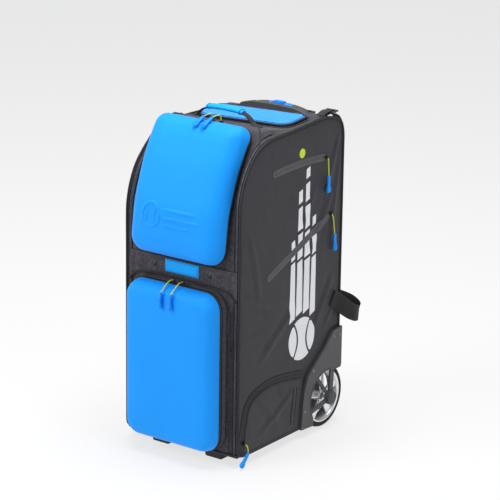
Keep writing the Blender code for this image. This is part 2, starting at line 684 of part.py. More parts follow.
def build_launcher_chassis():
    outline = [
        (-0.108, 0.726), (-0.052, 0.726), (0.005, 0.668), (0.045, 0.668), (0.045, 0.592), (0.005, 0.592),
        (-0.052, 0.534), (-0.108, 0.534),
    ]
    plates = [prism(outline, *sorted((side * 0.058, side * CHASSIS_X))) for side in (1, -1)]
    floor = box((-0.060, -0.022, 0.5910), (0.060, 0.0445, 0.5940))
    roof = box((-0.060, -0.022, 0.6660), (0.060, 0.0445, 0.6690))
    rails = [box((x, -0.022, 0.5930), (x + 0.003, 0.0445, 0.6670)) for x in (-0.0400, 0.0370)]
    pins = [rod((side * 0.060, PIVOT_Y, SHOT_Z), (side * 0.1433, PIVOT_Y, SHOT_Z), 0.0080, 16) for side in (1, -1)]
    frame = join(plates[0], floor, roof, plates[1], *rails, *pins)
    shafts = [rod((-0.07, LAUNCH_Y, SHOT_Z + s * LAUNCH_DZ), (0.07, LAUNCH_Y, SHOT_Z + s * LAUNCH_DZ), 0.0056, 14)
              for s in (1, -1)]
    finish_part(cut(frame, *shafts), "launcher_chassis", launcher_grey, (0.0, PIVOT_Y, SHOT_Z))


def build_launch_wheels():
    """Each rubber-faced wheel has its motor on the outside of one side plate."""
    for name, up, side in (("upper", 1, 1), ("lower", -1, -1)):
        centre = (0.0, LAUNCH_Y, SHOT_Z + up * LAUNCH_DZ)
        profile = [
            (0, -0.0610), (0.0050, -0.0610), (0.0050, -0.0200), (0.0400, -0.0200), (LAUNCH_R, -0.0150),
            (LAUNCH_R - 0.003, 0.0), (LAUNCH_R, 0.0150), (0.0400, 0.0200), (0.0050, 0.0200), (0.0050, 0.0740),
            (0, 0.0740),
        ]
        wheel = turned(profile, 24, centre, (side, 0, 0))
        finish_part(wheel, f"launch_wheel_{name}", launch_rubber, centre)
        can = [
            (0.0056, 0.0626), (0.0200, 0.0626), (0.0250, 0.0660), (0.0250, 0.1150), (0.0200, 0.1210), (0, 0.1210),
            (0, 0.0750), (0.0056, 0.0750),
        ]
        motor = turned(can, 18, centre, (side, 0, 0))
        finish_part(motor, f"launch_motor_{name}", steel, (0.0, PIVOT_Y, SHOT_Z))


def build_hopper():
    z = HOPPER_FLOOR
    bowl = [
        (0, z), (0.112, z), (0.116, z + 0.022), (0.116, 0.8335), (0.113, 0.8335), (0.113, z + 0.023),
        (0.110, z + 0.004), (0, z + 0.004),
    ]
    hopper = turned(bowl, 28, (0, FEED_Y, 0), (0, 0, 1))
    hole = rod((0, DROP_Y, 0.75), (0, DROP_Y, 0.79), 0.0365, 20)
    shaft = rod((0, FEED_Y, 0.75), (0, FEED_Y, 0.79), 0.0046, 12)
    finish_part(cut(hopper, hole, shaft), "hopper_bowl", moulded)


def build_feed():
    """The feed disc turns four open pockets over the drop hole, one ball in each."""
    points = []
    for k in range(4):
        turn = 90 * k + 90
        middle = (0.074 * math.cos(math.radians(turn)), 0.074 * math.sin(math.radians(turn)))
        points += arc(middle, 0.0355, turn + 258, turn + 102, 8)
        for edge in (34, 45, 56):
            angle = math.radians(turn + edge)
            points.append((0.1050 * math.cos(angle), 0.1050 * math.sin(angle)))
    outline = [(x, FEED_Y + y) for x, y in points]
    disc = prism(outline, HOPPER_FLOOR + 0.0055, HOPPER_FLOOR + 0.0220, axis="Z")
    shaft = rod((0, FEED_Y, 0.7600), (0, FEED_Y, HOPPER_FLOOR + 0.0100), 0.0042, 12)
    cone = turned([(0, 0), (0.030, 0), (0.012, 0.014), (0, 0.016)], 16, (0, FEED_Y, HOPPER_FLOOR + 0.0200), (0, 0, 1))
    finish_part(join(disc, shaft, cone), "feed_disc", launch_rubber, (0.0, FEED_Y, HOPPER_FLOOR))
    can = [
        (0.0047, 0.7738), (0.0047, 0.7590), (0, 0.7590), (0, 0.7180), (0.0180, 0.7180), (0.0210, 0.7210),
        (0.0210, 0.7738),
    ]
    finish_part(turned(can[::-1], 16, (0, FEED_Y, 0), (0, 0, 1)), "feed_motor", steel)


def build_drop_tube():
    """A bent tube from the hopper's drop hole to the launcher's mouth."""
    bend = 0.072
    top, low = HOPPER_FLOOR - 0.0005, SHOT_Z
    path = [(0, DROP_Y, top), (0, DROP_Y, low + bend)]
    for i in range(1, 7):
        angle = math.pi / 2 * i / 6
        path.append((0, DROP_Y - bend + bend * math.cos(angle), low + bend - bend * math.sin(angle)))
    path[-1] = (0, DROP_Y - bend, low)
    tube = sweep(path, round_section(0.0385, 14), (1, 0, 0))
    longer = [(0, DROP_Y, top + 0.01)] + path[1:-1] + [(0, DROP_Y - bend, low), (0, DROP_Y - bend - 0.03, low)]
    bore = sweep(longer, round_section(0.0360, 14), (1, 0, 0))
    trim = box((-0.05, -0.02, 0.55), (0.05, 0.0600, 0.70))
    finish_part(cut(tube, bore, trim), "drop_tube", moulded)


def on_panel(x, along, out):
    """A point of the tilted control panel: across it, up along it, and out of it."""
    dy, dz = 0.4935, 0.8697
    return Vector((x, -0.1560 + along * dy - out * dz, 0.7990 + along * dz + out * dy))


def build_controls():
    normal = on_panel(0, 0, 1) - on_panel(0, 0, 0)
    near, far = -0.0180, -0.0105
    corners = [on_panel(x, a, o) for o in (near, far) for x, a in (
        (-0.128, -0.030), (0.128, -0.030), (0.128, 0.030), (-0.128, 0.030))]
    faces = [(0, 1, 2, 3), (4, 5, 6, 7)] + [(i, (i + 1) % 4, 4 + (i + 1) % 4, 4 + i) for i in range(4)]
    panel = add_mesh(corners, faces)
    holes = [rod(on_panel(x, 0, -0.03), on_panel(x, 0, 0.01), r, 12) for x, r in (
        (-0.070, 0.0034), (0.070, 0.0034), (0.0, 0.0087))]
    finish_part(cut(panel, *holes), "control_panel", moulded)
    knob = [(0, -0.0060), (0.0030, -0.0060), (0.0030, 0.0006), (0.0165, 0.0006), (0.0150, 0.0140), (0, 0.0150)]
    for name, x in (("speed_knob", -0.070), ("frequency_knob", 0.070)):
        centre = on_panel(x, 0, far)
        finish_part(turned(knob, 20, centre, normal), name, grip_blue, centre)
    centre = on_panel(0, 0, far)
    push = [(0, -0.0060), (0.0080, -0.0060), (0.0080, 0.0045), (0.0060, 0.0055), (0, 0.0055)]
    finish_part(turned(push, 16, centre, normal), "power_button", lime, centre)
    dial = [(0, 0), (0.0180, 0), (0.0165, 0.0140), (0, 0.0140)]
    knob_x = 0.1442
    wheel = turned(dial, 20, (knob_x, 0.020, 0.590), (1, 0, 0))
    spindle = rod((0.1370, 0.020, 0.590), (knob_x + 0.005, 0.020, 0.590), 0.0040, 12)
    finish_part(join(wheel, spindle), "angle_knob", grip_blue, (knob_x, 0.020, 0.590))


def build_battery():
    finish_part(box((-0.056, 0.0620, SHELF_Z + 0.0064), (0.056, 0.1600, 0.5780)), "battery_pack", battery_black)


# ---------------------------------------------------------------- zip pulls

def zip_pull(name, slider, knee, grip_start, grip_end, side, pivot):
    """A slider, its short cord and its moulded grip, as one swinging or sliding piece."""
    cord = sweep([slider, knee, grip_start, grip_end], round_section(0.0016, 6), side)
    start, end = Vector(grip_start), Vector(grip_end)
    along = [start + (end - start) * t for t in (-0.05, 0.08, 0.55, 0.92, 1.02)]
    grip = sweep(along, round_section(0.0052, 8, 0.8), side, [0.62, 0.85, 0.95, 1.15, 0.8])
    body = box(Vector(slider) - Vector((0.0032, 0.0032, 0.0052)), Vector(slider) + Vector((0.0032, 0.0032, 0.0052)))
    finish_part(join(grip, cord, body), name, pull_blue, pivot)


def build_zip_pulls():
    for word, x in (("right", 0.024), ("left", -0.002)):
        top = (x, -0.0980, 0.8735)
        knee = (x - 0.001, -0.1030, 0.8915)
        upper = [(x + 0.006, -0.1450, 0.8940), (x + 0.006, -0.1860, 0.8755)]
        zip_pull(f"upper_pull_{word}", top, knee, *upper, (1, 0, 0), top)
    for word, x in (("right", 0.020), ("left", -0.012)):
        low = (x, -0.2480, 0.4765)
        bend = (x, -0.2680, 0.4775)
        lower = [(x, -0.3000, 0.4570), (x, -0.3040, 0.4170)]
        zip_pull(f"lower_pull_{word}", low, bend, *lower, (1, 0, 0), low)
    x = HALF_W + 0.0042
    out = x + 0.004
    zip_pull("side_pull_upper", (x, 0.143, 0.7580), (out, 0.1445, 0.742), (out, 0.147, 0.708), (out, 0.147, 0.663),
             (1, 0, 0), (x, 0.143, 0.7580))
    zip_pull("side_pull_diagonal", (x, 0.168, 0.6000), (out, 0.174, 0.582), (out, 0.181, 0.543), (out, 0.184, 0.496),
             (1, 0, 0), (x, 0.168, 0.6000))
    zip_pull("side_pull_pocket", (x, -0.205, 0.0640), (out, -0.196, 0.052), (out + 0.002, -0.196, 0.036),
             (out + 0.006, -0.232, 0.009), (1, 0, 0), (x, -0.205, 0.0640))


clear_scene()
collection = bpy.data.collections.new("tennis_ball_machine")
bpy.context.scene.collection.children.link(collection)

nylon = make_material("nylon", "3E3D43", 0.75)
band_cloth = make_material("band_cloth", "414045", 0.8)
shell_blue = make_material("shell_blue", "2AA3FD", 0.6)
lid_blue = make_material("lid_blue", "41B0FA", 0.6)
grip_blue = make_material("grip_blue", "1F8BF0", 0.5)
pull_blue = make_material("pull_blue", "0D6AD8", 0.4)
webbing = make_material("webbing", "26262A", 0.85)
moulded = make_material("moulded", "37373A", 0.5)
housing_grey = make_material("housing_grey", "4A4A4C", 0.5)
rubber = make_material("rubber", "1C1C1E", 0.75)
chrome = make_material("chrome", "DADCE0", 0.15, 1.0)
steel = make_material("steel", "A9ABAE", 0.3, 1.0)
dark_metal = make_material("dark_metal", "5A5A5E", 0.35, 1.0)
aluminium = make_material("aluminium", "B9BBBE", 0.35, 1.0)
launcher_grey = make_material("launcher_grey", "5C5F64", 0.45)
launch_rubber = make_material("launch_rubber", "2B2B2E", 0.7)
battery_black = make_material("battery_black", "202124", 0.5)
lime = make_material("lime", "CFE34A", 0.45)

build_side_panels()
build_back_panel()
build_base_tray()
build_front_frames()
build_top_panel()
build_shelf()
build_feet()
build_covers()
build_lid()
build_grab_handle()
build_front_band()
build_strap_loop()
build_corner_strap()
build_wheels()
build_trolley_handle()
build_launcher_base()
build_launcher_chassis()
build_launch_wheels()
build_hopper()
build_feed()
build_drop_tube()
build_controls()
build_battery()
build_zip_pulls()

for piece in collection.objects:
    piece.location.y += Y_SHIFT
bpy.context.view_layer.update()
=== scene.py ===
"""Looks of a wheeled tennis ball machine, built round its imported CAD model.

Lengths are in metres. Shapes are drawn in the CAD source's own frame, and add_mesh moves them by Y_SHIFT.
"""

import math

import bmesh
import bpy
import numpy as np
from mathutils import Matrix, Vector, noise


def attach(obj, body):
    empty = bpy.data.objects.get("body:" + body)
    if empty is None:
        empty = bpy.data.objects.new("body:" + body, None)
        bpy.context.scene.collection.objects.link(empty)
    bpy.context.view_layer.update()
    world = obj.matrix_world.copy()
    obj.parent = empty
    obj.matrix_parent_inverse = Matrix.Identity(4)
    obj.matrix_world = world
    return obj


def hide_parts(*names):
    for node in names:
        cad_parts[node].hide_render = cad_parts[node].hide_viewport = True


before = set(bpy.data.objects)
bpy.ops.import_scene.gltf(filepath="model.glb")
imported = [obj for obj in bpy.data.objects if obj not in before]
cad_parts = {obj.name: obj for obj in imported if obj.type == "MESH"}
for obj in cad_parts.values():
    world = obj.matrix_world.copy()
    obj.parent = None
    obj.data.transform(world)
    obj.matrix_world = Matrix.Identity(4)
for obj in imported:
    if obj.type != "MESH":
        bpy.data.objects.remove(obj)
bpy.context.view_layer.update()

# ---------------------------------------------------------------- sizes shared with the CAD source

Y_SHIFT = 0.0096
HALF_W = 0.184
PANEL_X = 0.1755
FRONT_Y = -0.226
CENTRE_ROWS = [
    (-0.2255, 0.5290), (-0.2240, 0.5710), (-0.2190, 0.6140), (-0.2120, 0.6620), (-0.1970, 0.7090),
    (-0.1770, 0.7620), (-0.1560, 0.8010), (-0.1350, 0.8350), (-0.1080, 0.8630), (-0.0720, 0.8680),
]
EDGE_ROWS = [
    (-0.2260, 0.5290), (-0.2260, 0.5710), (-0.2258, 0.6140), (-0.2255, 0.6620), (-0.2240, 0.7120),
    (-0.2090, 0.7600), (-0.1860, 0.7980), (-0.1560, 0.8290), (-0.1150, 0.8480), (-0.0720, 0.8530),
]
# The soft left shoulder has slumped below the right one. The same rows at the left edge:
EDGE_ROWS_LEFT = [
    (-0.2260, 0.5290), (-0.2260, 0.5710), (-0.2260, 0.6140), (-0.2235, 0.6550), (-0.2120, 0.7000),
    (-0.1900, 0.7450), (-0.1620, 0.7770), (-0.1340, 0.8020), (-0.1060, 0.8230), (-0.0720, 0.8280),
]
# The flat part of the top, which sags a little behind the grab handle: (y, z).
TOP_FLAT = [(-0.0705, 0.8665), (0.006, 0.8535), (0.020, 0.8546), (0.064, 0.8580), (0.111, 0.8617),
            (0.1555, 0.8620)]
TOP_EDGE = [
    (-0.0720, 0.8530), (-0.010, 0.8555), (0.080, 0.8610), (0.133, 0.8645), (0.167, 0.8610), (0.200, 0.8505),
    (0.216, 0.838), (0.2235, 0.818), (0.226, 0.800),
]
TOP_EDGE_LEFT = [
    (-0.0720, 0.8280), (-0.010, 0.8375), (0.080, 0.8370), (0.133, 0.8355), (0.167, 0.8320), (0.200, 0.8210),
    (0.216, 0.808), (0.2235, 0.7935), (0.226, 0.778),
]
# How far the top has sunk at its left end.
TOP_SAG = 0.0125
STEP_EDGE = [
    (0.0457, 0.0265), (0.0516, 0.0951), (0.0586, 0.1364), (0.0728, 0.1678), (0.1050, 0.1954), (0.1520, 0.2314),
    (0.1895, 0.2674), (0.226, 0.2734),
]
WINDOW_X = 0.118
EDGE_START_X = 0.1490
COVER_HX = 0.1455
COVER_CORNER = 0.046
UPPER_TOP_CORNER = 0.030
COVER_GAP = 0.0022
UPPER_DEPTH = 0.062
LOWER_DEPTH = 0.071
LOWER_EDGE = [(0.0, 0.0), (0.0, 0.40), (0.003, 0.64), (0.010, 0.82), (0.022, 0.93), (0.042, 0.975)]
UPPER_EDGE = [(0.0, 0.0), (0.001, 0.28), (0.006, 0.54), (0.016, 0.75), (0.030, 0.89), (0.050, 0.965)]
LOWER_COVER_Z = (0.040, 0.470)
UPPER_COVER_S = (0.009, 0.358)
WHEEL_R = 0.0875
WHEEL_Y = 0.163
WHEEL_X = 0.166
TUBE_Y = 0.192

# ---------------------------------------------------------------- camera, light and floor

AZIMUTH, ELEVATION, ROLL = 36.2, 16.9, 0.83
DISTANCE = 6.0
TARGET = (0.0488, Y_SHIFT, 0.512)
FOCAL_PX = 2282.0
FRAME_PX = 500.0
SENSOR_MM = 36.0
FLOOR_REACH = 14.0
WORLD_STRENGTH = 0.26
FLOOR_GLOW = 0.71


def add_camera():
    """The camera, from the angle and the distance solved from the picture."""
    az, el, roll = (math.radians(a) for a in (AZIMUTH, ELEVATION, ROLL))
    back = Vector((math.sin(az) * math.cos(el), -math.cos(az) * math.cos(el), math.sin(el)))
    right = Vector((0, 0, 1)).cross(back).normalized()
    up = back.cross(right)
    right = right * math.cos(roll) + up * math.sin(roll)
    up = back.cross(right)
    data = bpy.data.cameras.new("camera")
    data.sensor_width = SENSOR_MM
    data.lens = FOCAL_PX / FRAME_PX * SENSOR_MM
    data.clip_end = 100
    camera = bpy.data.objects.new("camera", data)
    turn = Matrix((right, up, back)).transposed().to_4x4()
    camera.matrix_world = Matrix.Translation(Vector(TARGET) + back * DISTANCE) @ turn
    bpy.context.scene.collection.objects.link(camera)
    bpy.context.scene.camera = camera


def add_light(name, place, aim, size, watts):
    data = bpy.data.lights.new(name, "AREA")
    data.shape = "RECTANGLE"
    data.size, data.size_y = size
    data.energy = watts
    light = bpy.data.objects.new(name, data)
    light.location = place
    light.rotation_euler = (Vector(aim) - Vector(place)).to_track_quat("-Z", "Y").to_euler()
    bpy.context.scene.collection.objects.link(light)


def add_stage():
    """The studio's world, lights and floor."""
    world = bpy.data.worlds.new("studio")
    world.use_nodes = True
    background = world.node_tree.nodes["Background"]
    background.inputs["Color"].default_value = (0.95, 0.97, 1.0, 1)
    background.inputs["Strength"].default_value = WORLD_STRENGTH
    bpy.context.scene.world = world
    bpy.context.scene.view_settings.view_transform = "Standard"
    middle = (0, 0, 0.5)
    add_light("key", (-2.0, -3.6, 2.7), middle, (2.4, 1.8), 115)
    add_light("side", (4.0, -0.9, 1.5), (0, 0, 0.35), (1.8, 2.2), 30)
    add_light("top", (0.2, 0.1, 4.2), middle, (2.6, 2.6), 165)
    floor = bpy.data.meshes.new("floor")
    corners = [(x * FLOOR_REACH, y * FLOOR_REACH, 0) for x, y in ((-1, -1), (1, -1), (1, 1), (-1, 1))]
    floor.from_pydata(corners, [], [(0, 1, 2, 3)])
    stage = bpy.data.objects.new("floor", floor)
    bpy.context.scene.collection.objects.link(stage)
    mat = bpy.data.materials.new("floor")
    mat.use_nodes = True
    shader = mat.node_tree.nodes["Principled BSDF"]
    shader.inputs["Base Color"].default_value = (0.20, 0.20, 0.203, 1)
    shader.inputs["Roughness"].default_value = 0.8
    shader.inputs["Emission Color"].default_value = (1.0, 1.0, 1.0, 1)
    shader.inputs["Emission Strength"].default_value = FLOOR_GLOW
    floor.materials.append(mat)


# ---------------------------------------------------------------- materials

def linear(hex_colour, gain=1.0):
    """A linear colour with alpha from an sRGB hex string."""
    values = [int(hex_colour[i : i + 2], 16) / 255 for i in (0, 2, 4)]
    values = [v / 12.92 if v <= 0.04045 else ((v + 0.055) / 1.055) ** 2.4 for v in values]
    return [min(v * gain, 1.0) for v in values] + [1.0]


class Tree:
    """A material's nodes, with short calls for the ones used here."""

    def __init__(self, name):
        self.mat = bpy.data.materials.new(name)
        self.mat.use_nodes = True
        self.nodes = self.mat.node_tree.nodes
        self.links = self.mat.node_tree.links
        self.shader = self.nodes["Principled BSDF"]
        self.where = self.nodes.new("ShaderNodeTexCoord").outputs["Object"]

    def put(self, kind, inputs, **settings):
        node = self.nodes.new(kind)
        for key, value in settings.items():
            setattr(node, key, value)
        for key, value in inputs.items():
            if isinstance(value, bpy.types.NodeSocket):
                self.links.new(value, node.inputs[key])
            else:
                node.inputs[key].default_value = value
        return node

    def noise(self, scale, detail=3.0, rough=0.55, where=None):
        inputs = {"Vector": where or self.where, "Scale": scale, "Detail": detail, "Roughness": rough}
        return self.put("ShaderNodeTexNoise", inputs).outputs["Fac"]

    def wave(self, axis, period, distortion=0.0):
        inputs = {"Vector": self.where, "Scale": 2 * math.pi / (20 * period), "Distortion": distortion,
                  "Detail": 1.0}
        return self.put("ShaderNodeTexWave", inputs, bands_direction=axis).outputs["Fac"]

    def stretched(self, scale):
        return self.put("ShaderNodeMapping", {"Vector": self.where, "Scale": scale}).outputs["Vector"]

    def maths(self, operation, a, b=0.0):
        return self.put("ShaderNodeMath", {0: a, 1: b}, operation=operation).outputs[0]

    def spread(self, value, lo, hi, start=0.0, end=1.0):
        inputs = {"Value": value, "From Min": start, "From Max": end, "To Min": lo, "To Max": hi}
        return self.put("ShaderNodeMapRange", inputs).outputs["Result"]

    def mix(self, factor, a, b):
        node = self.nodes.new("ShaderNodeMix")
        node.data_type = "RGBA"
        for socket, value in ((node.inputs[0], factor), (node.inputs[6], a), (node.inputs[7], b)):
            if isinstance(value, bpy.types.NodeSocket):
                self.links.new(value, socket)
            else:
                socket.default_value = value
        return node.outputs[2]

    def use(self, socket, value):
        if isinstance(value, bpy.types.NodeSocket):
            self.links.new(value, self.shader.inputs[socket])
        else:
            self.shader.inputs[socket].default_value = value

    def bump(self, height, depth, strength=1.0, under=None):
        inputs = {"Height": height, "Distance": depth, "Strength": strength}
        if under:
            inputs["Normal"] = under
        return self.put("ShaderNodeBump", inputs).outputs["Normal"]

    def worn_edges(self, colour, light, amount):
        """Paler along sharp edges, where handling rubs."""
        point = self.nodes.new("ShaderNodeNewGeometry").outputs["Pointiness"]
        edge = self.spread(point, 0.0, amount, 0.53, 0.62)
        rubbed = self.maths("MULTIPLY", edge, self.spread(self.noise(60, 4), 0.2, 1.0, 0.35, 0.65))
        return self.mix(rubbed, colour, light)


def cloth(name, hex_colour, period=0.0011, weave=0.00012, rough=0.8, vary=0.10, sheen=0.15, fleck=0.35):
    """Woven cloth: crossing threads, uneven dye and a soft sheen."""
    t = Tree(name)
    across, along, up = (t.wave(axis, period, 0.6) for axis in "XYZ")
    threads = t.maths("MULTIPLY", t.maths("ADD", t.maths("ADD", across, along), up), 1 / 3)
    patches = t.spread(t.noise(7.0, 4.0), 0.0, 1.0, 0.3, 0.7)
    colour = t.mix(patches, linear(hex_colour, 1 - vary), linear(hex_colour, 1 + vary))
    fine = t.spread(t.noise(900.0, 2.0), 0.0, fleck, 0.35, 0.75)
    colour = t.mix(fine, colour, linear(hex_colour, 1.45))
    gaps = t.spread(threads, fleck, 0.0, 0.05, 0.5)
    colour = t.mix(gaps, colour, linear(hex_colour, 0.62))
    t.use("Base Color", colour)
    t.use("Roughness", t.spread(t.noise(40.0), rough - 0.06, rough + 0.06))
    t.use("Sheen Weight", sheen)
    t.use("Sheen Roughness", 0.4)
    t.use("Specular IOR Level", 0.35)
    crumple = t.bump(t.noise(55.0, 4.0), 0.0012, 0.35)
    t.use("Normal", t.bump(threads, weave, 0.9, crumple))
    return t.mat


def padded_cloth(name, hex_colour, deep):
    """Stretch cloth bonded to moulded foam: a fine even knit over soft dimples."""
    t = Tree(name)
    knit = t.maths("ADD", t.wave("X", 0.0009, 0.8), t.wave("Z", 0.0009, 0.8))
    patches = t.spread(t.noise(5.0, 3.0), 0.0, 1.0, 0.3, 0.7)
    colour = t.mix(patches, linear(hex_colour, 0.965), linear(hex_colour, 1.03))
    dust = t.spread(t.noise(700.0, 2.0), 0.0, 0.30, 0.4, 0.8)
    colour = t.mix(dust, colour, linear(hex_colour, 1.20))
    colour = t.mix(t.spread(knit, 0.22, 0.0, 0.1, 0.9), colour, linear(deep))
    t.use("Base Color", colour)
    t.use("Roughness", t.spread(t.noise(30.0), 0.56, 0.68))
    t.use("Sheen Weight", 0.12)
    t.use("Sheen Roughness", 0.35)
    t.use("Specular IOR Level", 0.22)
    soft = t.bump(t.noise(26.0, 2.0), 0.0010, 0.22)
    t.use("Normal", t.bump(knit, 0.00010, 0.6, soft))
    return t.mat


def net(name, hex_colour, hole_hex, cell=0.0026):
    """Spacer mesh: a knit with small dark holes."""
    t = Tree(name)
    inputs = {"Vector": t.stretched((1.0, 1.0, 0.8)), "Scale": 1.0 / cell, "Randomness": 0.25}
    holes = t.put("ShaderNodeTexVoronoi", inputs).outputs["Distance"]
    open_part = t.spread(holes, 1.0, 0.0, 0.18, 0.42)
    patches = t.spread(t.noise(9.0, 4.0), 0.0, 1.0, 0.3, 0.7)
    flecks = t.spread(t.noise(150.0, 3.0), 0.0, 0.75, 0.42, 0.66)
    colour = t.mix(patches, linear(hex_colour, 0.80), linear(hex_colour, 1.04))
    colour = t.mix(flecks, colour, linear(hex_colour, 1.75))
    t.use("Base Color", t.mix(open_part, colour, linear(hole_hex)))
    t.use("Roughness", t.spread(t.noise(35.0), 0.74, 0.88))
    t.use("Sheen Weight", 0.2)
    t.use("Sheen Roughness", 0.4)
    t.use("Specular IOR Level", 0.3)
    crumple = t.bump(t.noise(45.0, 4.0), 0.0014, 0.4)
    t.use("Normal", t.bump(open_part, -0.0004, 0.8, crumple))
    return t.mat


def strap_cloth(name, hex_colour, rib="Z"):
    """Webbing: rounded ribs along its length, crossed by a fine weft."""
    t = Tree(name)
    ribs = t.wave(rib, 0.0022, 0.15)
    weft = t.maths("ADD", t.wave("X", 0.0010, 0.4), t.wave("Y", 0.0010, 0.4))
    height = t.maths("ADD", ribs, t.maths("MULTIPLY", weft, 0.25))
    patches = t.spread(t.noise(30.0, 4.0), 0.0, 1.0, 0.3, 0.7)
    colour = t.mix(patches, linear(hex_colour, 0.85), linear(hex_colour, 1.2))
    colour = t.mix(t.spread(height, 0.5, 0.0, 0.1, 0.8), colour, linear(hex_colour, 0.5))
    t.use("Base Color", colour)
    t.use("Roughness", t.spread(t.noise(60.0), 0.72, 0.86))
    t.use("Sheen Weight", 0.2)
    t.use("Specular IOR Level", 0.3)
    t.use("Normal", t.bump(height, 0.0004, 0.8))
    return t.mat


def plastic(name, hex_colour, rough=0.45, grain=0.00006, vary=0.06, worn=0.5, spec=0.5):
    """Moulded plastic: spark-eroded grain, faint flow marks and rubbed edges."""
    t = Tree(name)
    patches = t.spread(t.noise(14.0, 4.0), 0.0, 1.0, 0.3, 0.7)
    colour = t.mix(patches, linear(hex_colour, 1 - vary), linear(hex_colour, 1 + vary))
    t.use("Base Color", t.worn_edges(colour, linear(hex_colour, 1.9), worn))
    t.use("Roughness", t.spread(t.noise(120.0, 4.0), rough - 0.07, rough + 0.09, 0.3, 0.7))
    t.use("Specular IOR Level", spec)
    t.use("Normal", t.bump(t.noise(1500.0, 2.0), grain, 0.7))
    return t.mat


def rubber_like(name, hex_colour, rough=0.7):
    """Matt rubber with dust in its hollows and paler edges."""
    t = Tree(name)
    dust = t.spread(t.noise(22.0, 5.0), 0.0, 0.55, 0.45, 0.75)
    colour = t.mix(dust, linear(hex_colour), linear(hex_colour, 2.1))
    t.use("Base Color", t.worn_edges(colour, linear(hex_colour, 2.6), 0.5))
    t.use("Roughness", t.spread(t.noise(45.0, 4.0), rough - 0.08, rough + 0.1))
    t.use("Specular IOR Level", 0.35)
    t.use("Normal", t.bump(t.noise(600.0, 3.0), 0.0002, 0.6))
    return t.mat


def metal(name, hex_colour, rough=0.25, brushed="", scratch=0.08, metallic=1.0):
    """Metal with fine brushing along one axis, or plated with faint smears."""
    t = Tree(name)
    t.use("Metallic", metallic)
    scale = {"X": (3, 400, 400), "Y": (400, 3, 400), "Z": (400, 400, 3)}.get(brushed, (40, 40, 40))
    lines = t.noise(1.0, 4.0, 0.6, t.stretched(scale))
    tone = t.spread(t.noise(18.0, 4.0), 0.0, 1.0, 0.3, 0.7)
    t.use("Base Color", t.mix(tone, linear(hex_colour, 0.90), linear(hex_colour, 1.06)))
    t.use("Roughness", t.spread(lines, rough - scratch, rough + scratch, 0.3, 0.7))
    t.use("Normal", t.bump(lines, 0.00005, 0.35 if brushed else 0.12))
    return t.mat


def print_ink(name, hex_colour):
    """Heat-pressed film: nearly flat, with the cloth's texture showing through and fine cracks."""
    t = Tree(name)
    cracks = t.put("ShaderNodeTexVoronoi", {"Vector": t.where, "Scale": 160.0}, feature="DISTANCE_TO_EDGE")
    line = t.spread(cracks.outputs["Distance"], 0.35, 0.0, 0.0, 0.03)
    worn = t.maths("MULTIPLY", line, t.spread(t.noise(12.0, 4.0), 0.0, 1.0, 0.5, 0.7))
    colour = t.mix(t.spread(t.noise(30.0), 0.0, 1.0), linear(hex_colour, 0.95), linear(hex_colour, 1.03))
    t.use("Base Color", t.mix(worn, colour, linear(hex_colour, 0.6)))
    t.use("Roughness", t.spread(t.noise(80.0), 0.48, 0.6))
    weave = t.maths("ADD", t.wave("Y", 0.0011, 0.5), t.wave("Z", 0.0011, 0.5))
    t.use("Normal", t.bump(weave, 0.00006, 0.6))
    return t.mat


def braid(name, hex_colour):
    """Round braided cord: diagonal strands."""
    t = Tree(name)
    inputs = {"Vector": t.where, "Scale": 240.0, "Distortion": 1.2}
    height = t.put("ShaderNodeTexWave", inputs, bands_direction="DIAGONAL").outputs["Fac"]
    groove = t.spread(height, 0.45, 0.0, 0.1, 0.7)
    t.use("Base Color", t.mix(groove, linear(hex_colour), linear(hex_colour, 0.55)))
    t.use("Roughness", t.spread(t.noise(200.0), 0.6, 0.75))
    t.use("Sheen Weight", 0.2)
    t.use("Normal", t.bump(height, 0.0002, 0.8))
    return t.mat


# ---------------------------------------------------------------- mesh helpers

def catmull_rom(pts, i, t):
    """The smooth curve through the points, a share t of the way from point i to the next."""
    a, b, c, d = (pts[min(max(i + k, 0), len(pts) - 1)] for k in (-1, 0, 1, 2))
    return 0.5 * (2 * b + (c - a) * t + (2 * a - 5 * b + 4 * c - d) * t * t + (3 * b - a - 3 * c + d) * t**3)


def smooth_path(points, count):
    """A Catmull-Rom curve through the points, evenly resampled."""
    pts = [np.array(p, float) for p in points]
    dense = [catmull_rom(pts, i, j / 12) for i in range(len(pts) - 1) for j in range(12)]
    return resample(dense + [pts[-1]], count)


def lengths_along(points):
    """How far along a polyline each of its points is."""
    return np.concatenate([[0], np.cumsum(np.linalg.norm(np.diff(points, axis=0), axis=1))])


def resample(points, count):
    pts = np.array(points, float)
    along = lengths_along(pts)
    at = np.linspace(0, along[-1], count)
    return np.stack([np.interp(at, along, pts[:, k]) for k in range(pts.shape[1])], axis=1)


def vector_at(at, along, pts):
    """The point or direction a distance at along a 3-D polyline."""
    return Vector([np.interp(at, along, pts[:, k]) for k in range(3)])


def flat_normals(line):
    """Unit normals of a polyline in a plane."""
    d = np.gradient(line, axis=0)
    d /= np.maximum(np.linalg.norm(d, axis=1)[:, None], 1e-9)
    return np.stack([-d[:, 1], d[:, 0]], axis=1)


SHARP_DEGREES = 42


def add_mesh(name, verts, faces, mat, body, smooth=True, slot=None):
    """A piece with its normals facing out, riding on a body."""
    mesh = bpy.data.meshes.new(name)
    bm = bmesh.new()
    made = [bm.verts.new((v[0], v[1] + Y_SHIFT, v[2])) for v in verts]
    for face in faces:
        bm.faces.new([made[i] for i in face])
    bmesh.ops.recalc_face_normals(bm, faces=bm.faces)
    if bm.calc_volume(signed=True) < 0:
        bmesh.ops.reverse_faces(bm, faces=bm.faces)
    bm.to_mesh(mesh)
    bm.free()
    obj = bpy.data.objects.new(name, mesh)
    bpy.context.scene.collection.objects.link(obj)
    mesh.materials.append(mat)
    if smooth:
        mesh.shade_smooth()
        mesh.set_sharp_from_angle(angle=math.radians(SHARP_DEGREES))
    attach(obj, body)
    return obj


